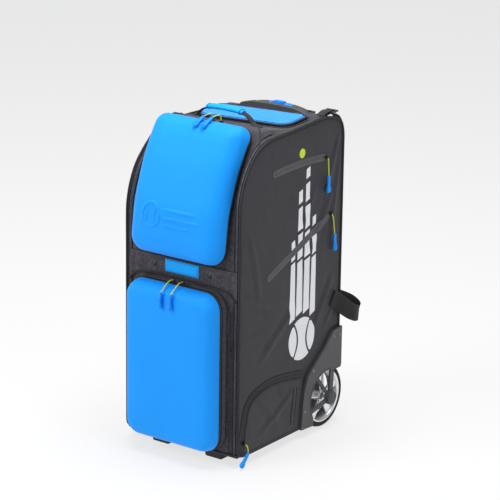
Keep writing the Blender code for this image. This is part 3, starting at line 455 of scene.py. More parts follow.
class Bits:
    """Collects many small closed shapes that become one piece."""

    def __init__(self):
        self.verts, self.faces = [], []

    def add(self, verts, faces):
        start = len(self.verts)
        self.verts += [tuple(v) for v in verts]
        self.faces += [tuple(i + start for i in face) for face in faces]

    def block(self, centre, u, v, w):
        """A box about its centre with half sides u, v and w."""
        c, u, v, w = Vector(centre), Vector(u), Vector(v), Vector(w)
        corners = [c + u * a + v * b + w * d for a in (-1, 1) for b in (-1, 1) for d in (-1, 1)]
        self.add(corners, [(0, 1, 3, 2), (4, 6, 7, 5), (0, 4, 5, 1), (2, 3, 7, 6), (0, 2, 6, 4), (1, 5, 7, 3)])

    def tube(self, path, radius, side, sides, flat=1.0, closed=False):
        self.add(*tube_mesh(path, oval(radius, radius * flat, sides), side, closed))

    def strap(self, path, width, thick, side):
        self.add(*tube_mesh(path, flat_strip(width, thick), side))

    def turned(self, profile, steps, centre, axis):
        self.add(*turned_mesh(profile, steps, centre, axis))

    def done(self, name, mat, body, smooth=True, slot=None):
        return add_mesh(name, self.verts, self.faces, mat, body, smooth, slot)


def ring_angles(sides):
    """The angles of a full turn, in equal steps."""
    return [2 * math.pi * k / sides for k in range(sides)]


def oval(half_a, half_b, sides, power_a=1.0, power_b=1.0):
    """A closed section. Powers below 1 make it squarer."""
    def bowed(value, power):
        return math.copysign(abs(value) ** power, value)

    return [(half_a * bowed(math.cos(a), power_a), half_b * bowed(math.sin(a), power_b))
            for a in ring_angles(sides)]


def between_rings(count, n, start=0, closed=False):
    """The faces between each ring of n points and the next one."""
    faces = []
    for ring in range(count if closed else count - 1):
        for k in range(n):
            a, b = ring * n + k, ring * n + (k + 1) % n
            faces.append(tuple(start + i % (count * n) for i in (a, b, b + n, a + n)))
    return faces


def tube_mesh(path, section, side, closed=False, scales=None):
    """A closed section carried along a path. Its first axis points along side where the path allows."""
    path, side = [Vector(p) for p in path], Vector(side)
    count, n = len(path), len(section)
    verts = []
    for i, point in enumerate(path):
        if closed:
            along = path[(i + 1) % count] - path[i - 1]
        else:
            along = path[min(i + 1, count - 1)] - path[max(i - 1, 0)]
        along.normalize()
        u = (side - along * along.dot(side)).normalized()
        v = along.cross(u)
        size = scales[i] if scales is not None else 1.0
        verts += [point + (u * a + v * b) * size for a, b in section]
    faces = between_rings(count, n, closed=closed)
    if not closed:
        faces += [tuple(range(n)), tuple(range(len(verts) - n, len(verts)))]
    return verts, faces


def turned_mesh(profile, steps, centre, axis):
    """A closed (radius, height) profile turned about an axis through the centre."""
    turn = Vector(axis).normalized().to_track_quat("Z", "Y").to_matrix()
    verts, rings = [], []
    for radius, height in profile:
        count = steps if radius > 1e-6 else 1
        rings.append(list(range(len(verts), len(verts) + count)))
        for k in range(count):
            angle = 2 * math.pi * k / steps
            point = Vector((radius * math.cos(angle), radius * math.sin(angle), height))
            verts.append(Vector(centre) + turn @ point)
    faces = []
    for a, b in zip(rings, rings[1:] + rings[:1]):
        if len(a) == 1 and len(b) == 1:
            continue
        for k in range(steps):
            m = (k + 1) % steps
            faces.append(list(dict.fromkeys([a[k % len(a)], a[m % len(a)], b[m % len(b)], b[k % len(b)]])))
    return verts, faces


def flat_strip(width, thick, folds=5):
    """A strap's section with rounded edges."""
    r = thick / 2
    turn = np.linspace(-math.pi / 2, math.pi / 2, folds)
    right = [(width / 2 - r + r * math.cos(a), r * math.sin(a)) for a in turn]
    return right + [(-x, -y) for x, y in right]


def grid_shell(rows, thick, skip=None):
    """A closed sheet from rows of (point, inward unit vector) pairs. skip(column, row) leaves a cell open."""
    wide, high = len(rows[0]), len(rows)
    verts = [p for row in rows for p, _ in row]
    verts += [np.array(p) + np.array(inward) * thick for row in rows for p, inward in row]
    back = wide * high

    def solid(c, r):
        return 0 <= c < wide - 1 and 0 <= r < high - 1 and not (skip and skip(c, r))

    faces = []
    for r in range(high - 1):
        for c in range(wide - 1):
            if not solid(c, r):
                continue
            a, b, d, e = r * wide + c, r * wide + c + 1, (r + 1) * wide + c + 1, (r + 1) * wide + c
            faces += [(a, b, d, e), (a + back, e + back, d + back, b + back)]
            sides = ((a, b, c, r - 1), (b, d, c + 1, r), (d, e, c, r + 1), (e, a, c - 1, r))
            for p, q, *beside in sides:
                if not solid(*beside):
                    faces.append((q, p, p + back, q + back))
    used = sorted({i for face in faces for i in face})
    index = {old: new for new, old in enumerate(used)}
    return [verts[i] for i in used], [tuple(index[i] for i in face) for face in faces]


def rounded_ring(half_x, lo, hi, corner, bend=10, across=16, up=22, top_corner=None):
    """Points of a rounded rectangle, the same number whatever its size: (x, s)."""
    most = min(half_x * 0.98, (hi - lo) * 0.49)
    radii = [max(min(r, most), 0.003) for r in (top_corner or corner, top_corner or corner, corner, corner)]
    centres = [(half_x, hi), (-half_x, hi), (-half_x, lo), (half_x, lo)]
    bends = []
    for k, ((cx, cs), r) in enumerate(zip(centres, radii)):
        x0, s0 = cx - math.copysign(r, cx), cs - r if k < 2 else cs + r
        angles = [math.pi / 2 * (k + i / bend) for i in range(bend + 1)]
        bends.append([(x0 + r * math.cos(a), s0 + r * math.sin(a)) for a in angles])
    points = []
    for k, line in enumerate(bends):
        (x0, s0), (x1, s1) = line[-1], bends[(k + 1) % 4][0]
        parts = across if k in (0, 2) else up
        points += line + [(x0 + (x1 - x0) * i / parts, s0 + (s1 - s0) * i / parts) for i in range(1, parts)]
    return points


# ---------------------------------------------------------------- finishes

nylon = cloth("nylon", "2E2D33", rough=0.60, sheen=0.10, weave=0.00010)
nylon_dark = cloth("nylon_dark", "2C2C30", rough=0.72)
band_cloth = net("band_net", "413F45", "19191C")
shoulder_net = net("shoulder_net", "37363A", "141416", 0.0030)
binding = cloth("binding", "1E1E21", period=0.0008, rough=0.6, sheen=0.1)
tape = cloth("zip_tape", "2F2F34", period=0.0007, rough=0.7, fleck=0.2)
welded_tape = plastic("welded_tape", "4F4F53", 0.50, vary=0.10, worn=0.2, spec=0.3)
shell_cloth = padded_cloth("shell_cloth", "0C97FA", "0B84E2")
lid_cloth = padded_cloth("lid_cloth", "3A9AF8", "2E87DE")
# Painted light: a lighter copy of the shell's blue cloth, so the front tab in the upper shell's shade comes out
# bright; the grab wrap shares it.
strap_blue_painted_lighter = padded_cloth("strap_blue_painted_lighter", "12A8FB", "0E92E4")
liner = cloth("liner", "55565C", period=0.0016, rough=0.85, sheen=0.2)
webbing = strap_cloth("webbing", "1B1B1D")
webbing_x = strap_cloth("webbing_across", "1B1B1D", "Y")
pull_plastic = plastic("pull_plastic", "0A8AEE", 0.42, vary=0.05, spec=0.3)
cord_lime = braid("cord_lime", "CFE02A")
thread_blue = cloth("thread_blue", "1C6FC4", period=0.0005, rough=0.6)
teeth_black = plastic("zip_teeth", "161618", 0.38)
slider_metal = metal("slider_metal", "3A3A3E", 0.38)
moulded = plastic("moulded", "303033", 0.5)
housing_plastic = plastic("housing_plastic", "454547", 0.52, grain=0.00012, worn=0.35)
handle_plastic = plastic("handle_plastic", "4B4B4F", 0.42, worn=0.4)
grip_blue = plastic("grip_blue", "1F8BF0", 0.45, worn=0.3)
tyre_rubber = rubber_like("tyre_rubber", "1A1A1B")
foot_rubber = rubber_like("foot_rubber", "202022", 0.62)
chrome = metal("chrome", "E9EAED", 0.34, scratch=0.06, metallic=0.8)
rivet_metal = metal("rivet_metal", "7C7E83", 0.3)
stud_metal = metal("stud_metal", "4A4A4E", 0.32)
steel = metal("steel", "A9ABAE", 0.3, "X")
steel_up = metal("steel_upright", "A9ABAE", 0.3, "Z")
aluminium = metal("aluminium", "B9BBBE", 0.32, "Z")
launcher_grey = plastic("launcher_grey", "5C5F64", 0.42, grain=0.00015)
launch_rubber = rubber_like("launch_rubber", "2B2B2E", 0.62)
battery_case = plastic("battery_case", "202124", 0.4)
lime_plastic = plastic("lime_plastic", "CFE34A", 0.35)
ink_white = print_ink("ink_white", "E9EAEE")
ink_lime = print_ink("ink_lime", "C3E32E")
tray_plastic = plastic("tray_plastic", "2E2E31", 0.55, grain=0.0002)


def carry_over(node, mat, bevel):
    """Gives a CAD node its finish and softens its edges. Its mesh isn't changed."""
    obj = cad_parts[node]
    for slot_ in obj.material_slots:
        slot_.link = "OBJECT"
        slot_.material = mat
    join_seams = obj.modifiers.new("weld", "WELD")
    join_seams.merge_threshold = 0.00002
    if bevel:
        rounding = obj.modifiers.new("bevel", "BEVEL")
        rounding.width = bevel
        rounding.segments = 2
        rounding.limit_method = "ANGLE"
        rounding.angle_limit = math.radians(38)


# ---------------------------------------------------------------- side panels

ZIP_UPPER = [(-0.094, 0.757), (-0.020, 0.762), (0.060, 0.763), (0.141, 0.759)]
ZIP_DIAGONAL = [(-0.112, 0.482), (-0.030, 0.516), (0.070, 0.556), (0.169, 0.598)]
POCKET_ZIP = [
    (0.056, 0.181), (0.022, 0.187), (-0.032, 0.195), (-0.088, 0.198), (-0.132, 0.193), (-0.168, 0.180),
    (-0.190, 0.159), (-0.199, 0.131), (-0.206, 0.098), (-0.211, 0.060),
]
DART = [(0.031, 0.150), (0.026, 0.110), (0.019, 0.053)]
DART_GAP = 0.017
CREASE_GAIN = 1.7
# Soft creases of the side cloth: from, to, half width and height.
CREASES = [
    ((0.208, 0.830), (0.140, 0.600), 0.007, 0.0016), ((0.216, 0.770), (0.170, 0.470), 0.008, 0.0018),
    ((0.200, 0.700), (0.050, 0.450), 0.010, 0.0016), ((0.120, 0.700), (-0.010, 0.520), 0.009, 0.0010),
    ((-0.185, 0.640), (-0.140, 0.400), 0.010, 0.0012), ((-0.200, 0.470), (-0.090, 0.390), 0.009, 0.0015),
    ((0.030, 0.400), (-0.150, 0.240), 0.011, 0.0016), ((0.190, 0.440), (0.100, 0.270), 0.010, 0.0016),
    ((0.205, 0.360), (0.150, 0.260), 0.006, 0.0012), ((-0.160, 0.170), (-0.030, 0.060), 0.010, 0.0014),
    ((-0.060, 0.190), (0.020, 0.100), 0.008, 0.0009), ((0.020, 0.160), (-0.150, 0.045), 0.009, 0.0014),
    ((-0.170, 0.350), (-0.060, 0.300), 0.008, 0.0010),
]


def front_edge(count, edge_rows):
    """A side panel's front edge, from the floor to the top."""
    corner = [(-0.190, 0.0268), (-0.208, 0.0285), (-0.220, 0.035), (-0.2255, 0.048), (-0.226, 0.080)]
    up = [(-0.226, z) for z in (0.16, 0.26, 0.36, 0.46)]
    return smooth_path(corner + up + edge_rows, count)


def distance_to(path, pts):
    """Each point's distance to a polyline."""
    path, pts = np.array(path, float), np.array(pts, float)
    best = np.full(len(pts), 9.0)
    for a, b in zip(path[:-1], path[1:]):
        d = b - a
        t = np.clip(((pts - a) @ d) / max(d @ d, 1e-12), 0, 1)
        best = np.minimum(best, np.linalg.norm(pts - a - t[:, None] * d, axis=1))
    return best


def inside(polygon, pts):
    polygon, pts = np.array(polygon, float), np.array(pts, float)
    found = np.zeros(len(pts), bool)
    for a, b in zip(polygon, np.roll(polygon, -1, axis=0)):
        crosses = (a[1] > pts[:, 1]) != (b[1] > pts[:, 1])
        with np.errstate(divide="ignore", invalid="ignore"):
            at = a[0] + (pts[:, 1] - a[1]) * (b[0] - a[0]) / (b[1] - a[1])
        found ^= crosses & (pts[:, 0] < at)
    return found


def ease(t):
    t = np.clip(t, 0, 1)
    return t * t * (3 - 2 * t)


PANEL_MIDDLE = np.array([0.0, 0.45])
STEP_LINE = np.array(STEP_EDGE)
BOTTOM_LINE = np.array([(-0.190, 0.0268), (0.0457, 0.0265)])


def panel_lines(edge_rows, top_edge):
    """A side panel's front, top and back edges, and its whole outline."""
    front, top = front_edge(120, edge_rows), smooth_path(top_edge, 60)
    back = np.array([STEP_EDGE[-1], top_edge[-1]])
    return front, top, back, np.concatenate([front, top[1:], back[::-1], STEP_LINE[::-1], BOTTOM_LINE[::-1]])


PANEL_LINES = {1: panel_lines(EDGE_ROWS, TOP_EDGE), -1: panel_lines(EDGE_ROWS_LEFT, TOP_EDGE_LEFT)}
POCKET_CURVE = smooth_path(POCKET_ZIP, 90)
POCKET_AREA = np.concatenate([POCKET_CURVE, [(-0.215, 0.0), (0.046, 0.0), (0.056, 0.10)]])


def side_x(pts, sign=1):
    """How far out the side cloth stands at (y, z) points."""
    pts = np.array(pts, float).reshape(-1, 2)
    seed = 0.0 if sign > 0 else 5.0
    edge = distance_to(PANEL_LINES[sign][3], pts)
    out = HALF_W - 0.0012 + 0.0026 * (1 - np.exp(-edge / 0.045))
    calm = ease(edge / 0.03)
    for start, end, width, height in CREASES:
        a, b = np.array(start), np.array(end)
        d = (b - a) / np.linalg.norm(b - a)
        along = (pts - a) @ d / np.linalg.norm(b - a)
        bend = 0.006 * np.sin(along * 4.0 + seed * 3 + start[0] * 40)
        across = (pts - a) @ np.array([-d[1], d[0]]) - bend
        fade = ease(along / 0.25) * ease((1 - along) / 0.35)
        ridge, trough = np.exp(-((across / width) ** 2)), np.exp(-(((across + 1.7 * width) / width) ** 2))
        out += CREASE_GAIN * calm * fade * height * (ridge - 0.45 * trough)
    for i, (y, z) in enumerate(pts):
        slow = noise.noise(Vector((y * 9 + seed, z * 5, 3.1)))
        fine = noise.noise(Vector((y * 34 + z * 16, z * 12 - y * 6, 7.7 + seed)))
        out[i] += calm[i] * (0.0012 * slow + 0.00045 * fine)
    pocket = distance_to(POCKET_CURVE, pts)
    raised = inside(POCKET_AREA, pts) * ease(pocket / 0.016)
    out += 0.0030 * raised - 0.0014 * np.exp(-((pocket / 0.004) ** 2))
    out -= 0.0012 * np.exp(-((distance_to(DART, pts) / 0.003) ** 2))
    return out


def coons(bottom, right, top, left):
    """A grid between four border lines: its rows run from bottom to top."""
    nu, nv = len(bottom), len(left)
    rows = np.zeros((nv, nu, 2))
    for j in range(nv):
        for i in range(nu):
            u, v = i / (nu - 1), j / (nv - 1)
            flat = (1 - u) * (1 - v) * bottom[0] + u * (1 - v) * bottom[-1]
            flat = flat + (1 - u) * v * top[0] + u * v * top[-1]
            rows[j, i] = (1 - v) * bottom[i] + v * top[i] + (1 - u) * left[j] + u * right[j] - flat
    return rows


def build_side(sign, word):
    """One side wall's cloth, the piping round it and the seam inside the piping."""
    wide, high = 96, 170
    front, top, back, outline = PANEL_LINES[sign]
    right = resample(np.concatenate([STEP_LINE, back[1:]]), high)
    grid = coons(resample(BOTTOM_LINE, wide), right, resample(top, wide), resample(front, high))
    xs = side_x(grid, sign).reshape(high, wide)
    rows = [[((sign * x, y, z), (-sign, 0, 0)) for (y, z), x in zip(*line)] for line in zip(grid, xs)]
    sheet = grid_shell(rows, 0.0045)
    panel = add_mesh(f"side_cloth_{word}", *sheet, nylon, "bag", slot="nylon")
    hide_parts(f"side_panel_{word}")
    trim = Bits()
    loop = resample(np.concatenate([outline, outline[:1]]), 420)[:-1]
    core = [(sign * (HALF_W - 0.0005), y, z) for y, z in loop]
    trim.tube(core, 0.0031, (1, 0, 0), 10, closed=True)
    trim.done(f"side_piping_{word}", binding, "bag", slot="webbing")
    seam = Bits()
    lips = []
    for point, before, after in zip(loop, np.roll(loop, 1, axis=0), np.roll(loop, -1, axis=0)):
        d = after - before
        n = np.array([-d[1], d[0]]) / np.linalg.norm(d)
        if n @ (PANEL_MIDDLE - point) < 0:
            n = -n
        lips.append(point + n * 0.0062)
    seam.tube(on_side(lips, 0.0002, sign), 0.0011, (1, 0, 0), 6, closed=True)
    seam.done(f"side_seam_{word}", nylon_dark, "bag")


def on_side(pts, lift, sign=1):
    return [Vector((sign * (x + lift), y, z)) for (y, z), x in zip(pts, side_x(pts, sign))]


def side_strip(name, path, half, heights, mat, count, ends=0.0, sign=1):
    """A strip lying on the side cloth. heights gives its lift at even places across."""
    line = smooth_path(path, count)
    across = np.linspace(-1, 1, len(heights))
    total = lengths_along(line)[-1]
    rows = []
    for i, (point, n) in enumerate(zip(line, flat_normals(line))):
        along = total * i / (count - 1)
        room = min(along, total - along)
        narrow = math.sqrt(max(1 - (1 - min(room / ends, 1)) ** 2, 0.02)) if ends else 1.0
        places = [point + n * half * narrow * a for a in across]
        lifted = zip(places, side_x(places, sign), heights)
        rows.append([((sign * (x + lift), y, z), (-sign, 0, 0)) for (y, z), x, lift in lifted])
    return add_mesh(name, *grid_shell(rows, 0.0016), mat, "bag")


def teeth_along(bits, points, outs, pitch, size):
    """Zip teeth: small blocks set left and right of a line in turn."""
    pts = np.array(points, float)
    along = lengths_along(pts)
    outs = np.array([tuple(o) for o in outs], float)
    for k in range(int(along[-1] / pitch)):
        at = (k + 0.5) * pitch
        i = min(max(int(np.searchsorted(along, at)) - 1, 0), len(pts) - 2)
        d = Vector(pts[i + 1] - pts[i]).normalized()
        c, n = vector_at(at, along, pts), vector_at(at, along, outs).normalized()
        side = d.cross(n).normalized()
        shift = side * size[0] * (0.45 if k % 2 else -0.45)
        bits.block(c + shift, side * size[0], d * size[1], n * size[2])


# How far a zip tape stands off the cloth, across its width: it dips over the teeth.
WELDED_LIFT = [0.0006, 0.0014, 0.0014, 0.0010, 0.0014, 0.0014, 0.0006]
POCKET_LIFT = [0.0002, 0.0010, 0.0004, 0.0002, 0.0004, 0.0010, 0.0002]


def build_side_zips(sign, word):
    side_strip(f"upper_zip_tape_{word}", ZIP_UPPER, 0.0098, WELDED_LIFT, welded_tape, 60, 0.010, sign)
    side_strip(f"diagonal_zip_tape_{word}", ZIP_DIAGONAL, 0.0098, WELDED_LIFT, welded_tape, 70, 0.010, sign)
    side_strip(f"pocket_zip_tape_{word}", POCKET_ZIP, 0.0065, POCKET_LIFT, tape, 110, 0.0, sign)
    teeth = Bits()
    out = Vector((sign, 0, 0))
    for path, lift in ((ZIP_UPPER, 0.0004), (ZIP_DIAGONAL, 0.0004), (POCKET_ZIP, 0.0006)):
        line = on_side(smooth_path(path, 80), lift, sign)
        teeth_along(teeth, line, [out] * len(line), 0.0024, (0.0011, 0.0008, 0.0007))
    teeth.done(f"side_zip_teeth_{word}", teeth_black, "bag", smooth=False)
    hem = Bits()
    for shift in (-0.0095, 0.0095):
        line = smooth_path(POCKET_ZIP, 110)
        hem.tube(on_side(line + flat_normals(line) * shift, 0.0003, sign), 0.0016, (1, 0, 0), 6)
    for shift in (0, -DART_GAP):
        dart = smooth_path([(y + shift, z) for y, z in DART], 30)
        hem.tube(on_side(dart, 0.0003, sign), 0.0014, (1, 0, 0), 6)
    hem.done(f"pocket_seams_{word}", binding, "bag")


# ---------------------------------------------------------------- print on the side: a ball and its trail

PRINT_Y = 0.050
BALL = (0.050, 0.282, 0.059)
# Stripes of the ball's trail: offset from its middle line, bottom, top and half width.
TRAIL = [
    (-0.0465, 0.3405, 0.560, 0.0125), (-0.0160, 0.3545, 0.690, 0.0138),
    (0.0160, 0.3545, 0.745, 0.0138), (0.0465, 0.3405, 0.610, 0.0125),
]
TRAIL_BREAKS = [(0.500, 0.008), (0.575, 0.010), (0.645, 0.012), (0.705, 0.014)]
LIME_DOT = (0.037, 0.789, 0.0125)


def print_patch(bits, grid, sign):
    """Thin closed film through a grid of (y, z) points."""
    rows = [[(tuple(p), (-sign, 0, 0)) for p in on_side(line, 0.00035, sign)] for line in grid]
    bits.add(*grid_shell(rows, 0.0006))


def disc_grid(cy, cz, radius):
    turn = np.linspace(0, 2 * math.pi, 40)
    return [[(cy + r * math.cos(a), cz + r * math.sin(a)) for a in turn] for r in np.linspace(0.0005, radius, 8)]


def ball_parts():
    """A ball seen as three parts, left by two curved seams."""
    cy, cz, r = BALL
    gap = 0.0035
    grids = []

    def seam(side, t):
        """A seam bows towards the middle: side -1 or 1, t from -1 at the bottom to 1 at the top."""
        return side * (0.020 + 0.026 * t * t)

    for part in range(3):
        rows = []
        for t in np.linspace(-0.995, 0.995, 34):
            z = r * t
            half = math.sqrt(r * r - z * z)
            edges = (-9.0, seam(-1, t), seam(1, t), 9.0)
            a, b = max(edges[part] + gap, -half), min(edges[part + 1] - gap, half)
            if b - a > 0.0006:
                rows.append([(cy + a + (b - a) * k / 12, cz + z) for k in range(13)])
        grids.append(rows)
    return grids


def build_print(sign, word):
    ink = Bits()
    for grid in ball_parts():
        print_patch(ink, grid, sign)
    for offset, bottom, top, half in TRAIL:
        ends = [bottom]
        for at, gap in TRAIL_BREAKS:
            if at + gap + 0.012 < top:
                ends += [at, at + gap]
        ends.append(top)
        for lo, hi in zip(ends[::2], ends[1::2]):
            rows = []
            for v in np.linspace(0, 1, max(int((hi - lo) / 0.006), 4)):
                z = lo + (hi - lo) * v
                wide = half * (1 - 0.42 * (z - bottom) / (top - bottom))
                slant = 0.35 * wide
                rows.append([(PRINT_Y + offset + wide * u, z + slant * u) for u in np.linspace(-1, 1, 7)])
            print_patch(ink, rows, sign)
    ink.done(f"side_print_{word}", ink_white, "bag", slot="nylon")
    dot = Bits()
    print_patch(dot, disc_grid(*LIME_DOT), sign)
    dot.done(f"side_dot_{word}", ink_lime, "bag", slot="lime")


# ---------------------------------------------------------------- front, top and back of the bag

def spline_rows(rows):
    """A smooth curve through rows of (y, z), read at a real row number."""
    pts = np.array(rows, float)

    def at(v):
        i = min(max(int(v), 0), len(pts) - 2)
        return catmull_rom(pts, i, v - i)

    return at


CENTRE_AT = spline_rows(CENTRE_ROWS)
EDGE_AT = {1: spline_rows(EDGE_ROWS), -1: spline_rows(EDGE_ROWS_LEFT)}


def front_point(x, v):
    """The (y, z) of the upper front at x and at a real row number."""
    t = float(ease((abs(x) - EDGE_START_X) / (PANEL_X - EDGE_START_X)))
    return CENTRE_AT(v) * (1 - t) + EDGE_AT[1 if x > 0 else -1](v) * t


def mirrored(half):
    """An arch from the left end over to the right one, from the (x, z) points of its right half."""
    return [(-x, z) for x, z in half] + half[-2::-1]


def stations(marks, counts):
    """Even steps between marks, which are all among them."""
    made = [marks[0]]
    for lo, hi, count in zip(marks, marks[1:], counts):
        made += list(np.linspace(lo, hi, count))[1:]
    return made


def window_columns(count_side, count_middle):
    """Columns of x, with the sides of a cover's window on two of them."""
    return stations((-PANEL_X, -WINDOW_X, WINDOW_X, PANEL_X), (count_side, count_middle, count_side))


def build_upper_front():
    """The sloped band round the upper cover, with its edge seams."""
    xs = window_columns(16, 26)
    vs = stations((0, 1, 7, 9), (9, 60, 26))
    rows = []
    for v in vs:
        row = []
        for x in xs:
            p = front_point(x, v)
            q = front_point(x, min(v + 0.05, 9)) - front_point(x, max(v - 0.05, 0))
            ny, nz = -q[1], q[0]
            size = math.hypot(ny, nz)
            ny, nz = ny / size, nz / size
            rumple = 0.0016 * noise.noise(Vector((x * 26, p[0] * 30, p[1] * 22)))
            rumple += 0.0005 * noise.noise(Vector((x * 80, p[1] * 60, 2)))
            calm = float(ease((PANEL_X - abs(x)) / 0.012)) * float(ease(min(v, 9 - v) / 0.4))
            hollow = -0.0022 * math.exp(-(((abs(x) - 0.1605) / 0.006) ** 2)) * float(ease((v - 0.6) / 1.2))
            lift = (rumple + hollow) * calm
            row.append(((x, p[0] + ny * lift, p[1] + nz * lift), (0, -ny, -nz)))
        rows.append(row)
    sheet = grid_shell(rows, 0.0055, lambda c, r: 15 <= c < len(xs) - 16 and 8 <= r < 67)
    front = add_mesh("upper_front_cloth", *sheet, band_cloth, "bag", slot="band_cloth")
    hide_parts("upper_front_frame")
    trim = Bits()

    def seam(xs, vs, shift, radius):
        trim.tube([(x, *(front_point(x, v) + np.array(shift))) for x, v in zip(xs, vs)], radius, (1, 0, 0), 7)

    for side in (-1, 1):
        seam([side * 0.1660] * 80, np.linspace(0, 9, 80), (-0.0012, 0.0006), 0.0016)
        # The yoke seam, from the grab handle's anchor out to the piping.
        seam(side * np.linspace(0.122, 0.1745, 24), np.linspace(8.95, 7.5, 24), (-0.0004, 0.0008), 0.0014)
    trim.done("front_edge_seams", binding, "bag")


def build_lower_front():
    """The upright band round the lower cover, with its piping."""
    xs = window_columns(18, 26)
    zs = stations((0.0310, 0.072, 0.440, 0.5285), (12, 60, 24))
    rows = []
    for z in zs:
        row = []
        for x in xs:
            calm = float(ease((PANEL_X - abs(x)) / 0.012)) * float(ease(min(z - 0.031, 0.5285 - z) / 0.012))
            rumple = 0.0018 * noise.noise(Vector((x * 24, z * 20, 9)))
            rumple += 0.0007 * noise.noise(Vector((x * 70, z * 40, 4)))
            hollow = -0.0026 * math.exp(-(((abs(x) - 0.158) / 0.006) ** 2))
            band = 0.0016 * math.exp(-(((z - 0.503) / 0.020) ** 2))
            row.append(((x, FRONT_Y - calm * (rumple + hollow + band), z), (0, 1, 0)))
        rows.append(row)
    sheet = grid_shell(rows, 0.0060, lambda c, r: 17 <= c < len(xs) - 18 and 11 <= r < 70)
    front = add_mesh("lower_front_cloth", *sheet, band_cloth, "bag", slot="band_cloth")
    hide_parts("lower_front_frame")
    trim = Bits()
    arch = [(0.176, 0.448), (0.163, 0.459), (0.146, 0.4715), (0.105, 0.4775), (0.05, 0.4795), (0.0, 0.480)]
    base = [(0.176, 0.034), (0.150, 0.0325), (0.0, 0.0315)]
    for half, lift, count in ((arch, 0.0030, 90), (base, 0.0006, 50)):
        line = smooth_path(mirrored(half), count)
        trim.tube([(x, FRONT_Y - lift, z) for x, z in line], 0.0026, (0, 1, 0), 8)
    for side in (-1, 1):
        upright = [(side * 0.1665, FRONT_Y - 0.0010, z) for z in np.linspace(0.036, 0.455, 30)]
        trim.tube(upright, 0.0016, (1, 0, 0), 7)
    join_line = [(x, FRONT_Y - 0.0008, 0.5288) for x in np.linspace(-0.175, 0.175, 30)]
    trim.tube(join_line, 0.0014, (0, 0, 1), 7)
    trim.done("lower_front_seams", binding, "bag")


def top_at(y):
    """Height of the flat part of the top."""
    return float(np.interp(y, *zip(*TOP_FLAT)))


def sag_at(x, y):
    """How far the top has sunk: evenly more towards its left end, and less in front of the grab handle."""
    return TOP_SAG * min(max((0.157 - x) / 0.314, 0), 1) * min(max((y + 0.0705) / 0.0765, 0), 1)


def top_edge_of(x):
    """The top's left or right edge, as (y, z)."""
    return (TOP_EDGE if x > 0 else TOP_EDGE_LEFT)[:7]


def top_surface(x, y):
    """Height of the smooth top: flat, sloping to the piped edges and rounded off at the back."""
    edge = np.interp(y, *zip(*top_edge_of(x)))
    flat = top_at(y) - sag_at(x, y) - 0.0190 * max((y - 0.165) / 0.048, 0) ** 1.6
    return flat + (edge - flat) * float(ease((abs(x) - 0.148) / (PANEL_X - 0.148)))


def build_top():
    """The cloth top round the hopper's mouth, then on past the handle's bezel to the back."""
    xs = sorted(stations((-PANEL_X, -0.1180, 0.1180, PANEL_X), (18, 28, 18)) + [-0.142, 0.142])
    ys = stations((-0.0705, 0.020, 0.111, 0.1555, 0.2128), (20, 16, 9, 14))
    rows = []
    for y in ys:
        row = []
        for x in xs:
            z = top_surface(x, y) + 0.0004
            calm = float(ease((PANEL_X - abs(x)) / 0.01))
            channel = 0.0014 * math.exp(-(((abs(x) - 0.163) / 0.004) ** 2))
            z += calm * (0.0009 * noise.noise(Vector((x * 30, y * 30, 5))) - channel)
            row.append(((x, y, z), (0, 0, -1)))
        rows.append(row)
    mouth_x = [i for i, x in enumerate(xs) if abs(x) <= 0.1421]
    bezel_x = [i for i, x in enumerate(xs) if abs(x) <= 0.1181]

    def left_open(c, r):
        over_mouth = 19 <= r < 34 and mouth_x[0] <= c < mouth_x[-1]
        return over_mouth or (r >= 42 and bezel_x[0] <= c < bezel_x[-1])

    sheet = grid_shell(rows, 0.0055, left_open)
    top = add_mesh("top_cloth", *sheet, shoulder_net, "bag", slot="nylon")
    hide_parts("top_panel")
    lugs = Bits()
    anchor = [(0.0852, -0.0480, 0.8722), (0.0895, -0.0488, 0.8692), (0.0960, -0.0510, 0.8672),
              (0.1060, -0.0550, 0.8662), (0.1180, -0.0600, 0.8655)]
    for side in (-1, 1):
        line = [(side * x, y, z - sag_at(side * x, y) * min((x - 0.0852) / 0.010, 1)) for x, y, z in anchor]
        lugs.strap(smooth_path(line, 16), 0.019, 0.0024, (0, 1, 0))
        x, y = side * 0.1060, -0.0550
        centre = (x, y, 0.8676 - sag_at(x, y))
        lugs.block(centre, (side * 0.0014, -0.0006, 0), (0.0030, 0.0088, 0), (0, 0, 0.0008))
    lugs.done("handle_anchors", webbing_x, "bag", slot="webbing")


def build_back():
    """The back wall and its seams."""
    wide, high = 60, 90
    rows = []
    lines = resample([(0.2128, 0.8430), (0.2205, 0.828), (0.224, 0.815), (0.226, 0.800), (0.226, 0.0305)], high)
    for y0, z in lines:
        row = []
        half = PANEL_X if z > 0.2740 else 0.1365
        for x in np.linspace(-half, half, wide):
            calm = float(ease((half - abs(x)) / 0.015)) * float(ease(min(z - 0.03, 0.8425 - z) / 0.02))
            slow, fine = noise.noise(Vector((x * 14, z * 9, 1))), noise.noise(Vector((x * 50, z * 30, 6)))
            channel = 0.0015 * math.exp(-(((abs(x) - 0.095) / 0.003) ** 2))
            y = y0 + calm * (0.0016 + 0.0009 * slow + 0.0005 * fine - channel)
            drop = (0.8430 - top_surface(x, 0.2128)) * float(ease((z - 0.70) / 0.143))
            row.append(((x, y, z - drop), (0, -1, 0)))
        rows.append(row)
    back = add_mesh("back_cloth", *grid_shell(rows, 0.0060), nylon, "bag", slot="nylon")
    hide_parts("back_panel")
    trim = Bits()
    for side in (-1, 1):
        trim.tube([(side * 0.095, 0.2268, z) for z in np.linspace(0.034, 0.800, 40)], 0.0013, (1, 0, 0), 6)
    for z in (0.300, 0.560):
        trim.tube([(x, 0.2270, z) for x in np.linspace(-0.094, 0.094, 20)], 0.0013, (0, 0, 1), 6)
    trim.done("back_seams", binding, "bag")


# ---------------------------------------------------------------- covers

PROFILE = smooth_path(CENTRE_ROWS, 600)
PROFILE_LENGTH = float(lengths_along(PROFILE)[-1])
CAD_PROFILE_LENGTH = float(lengths_along(np.array(CENTRE_ROWS))[-1])


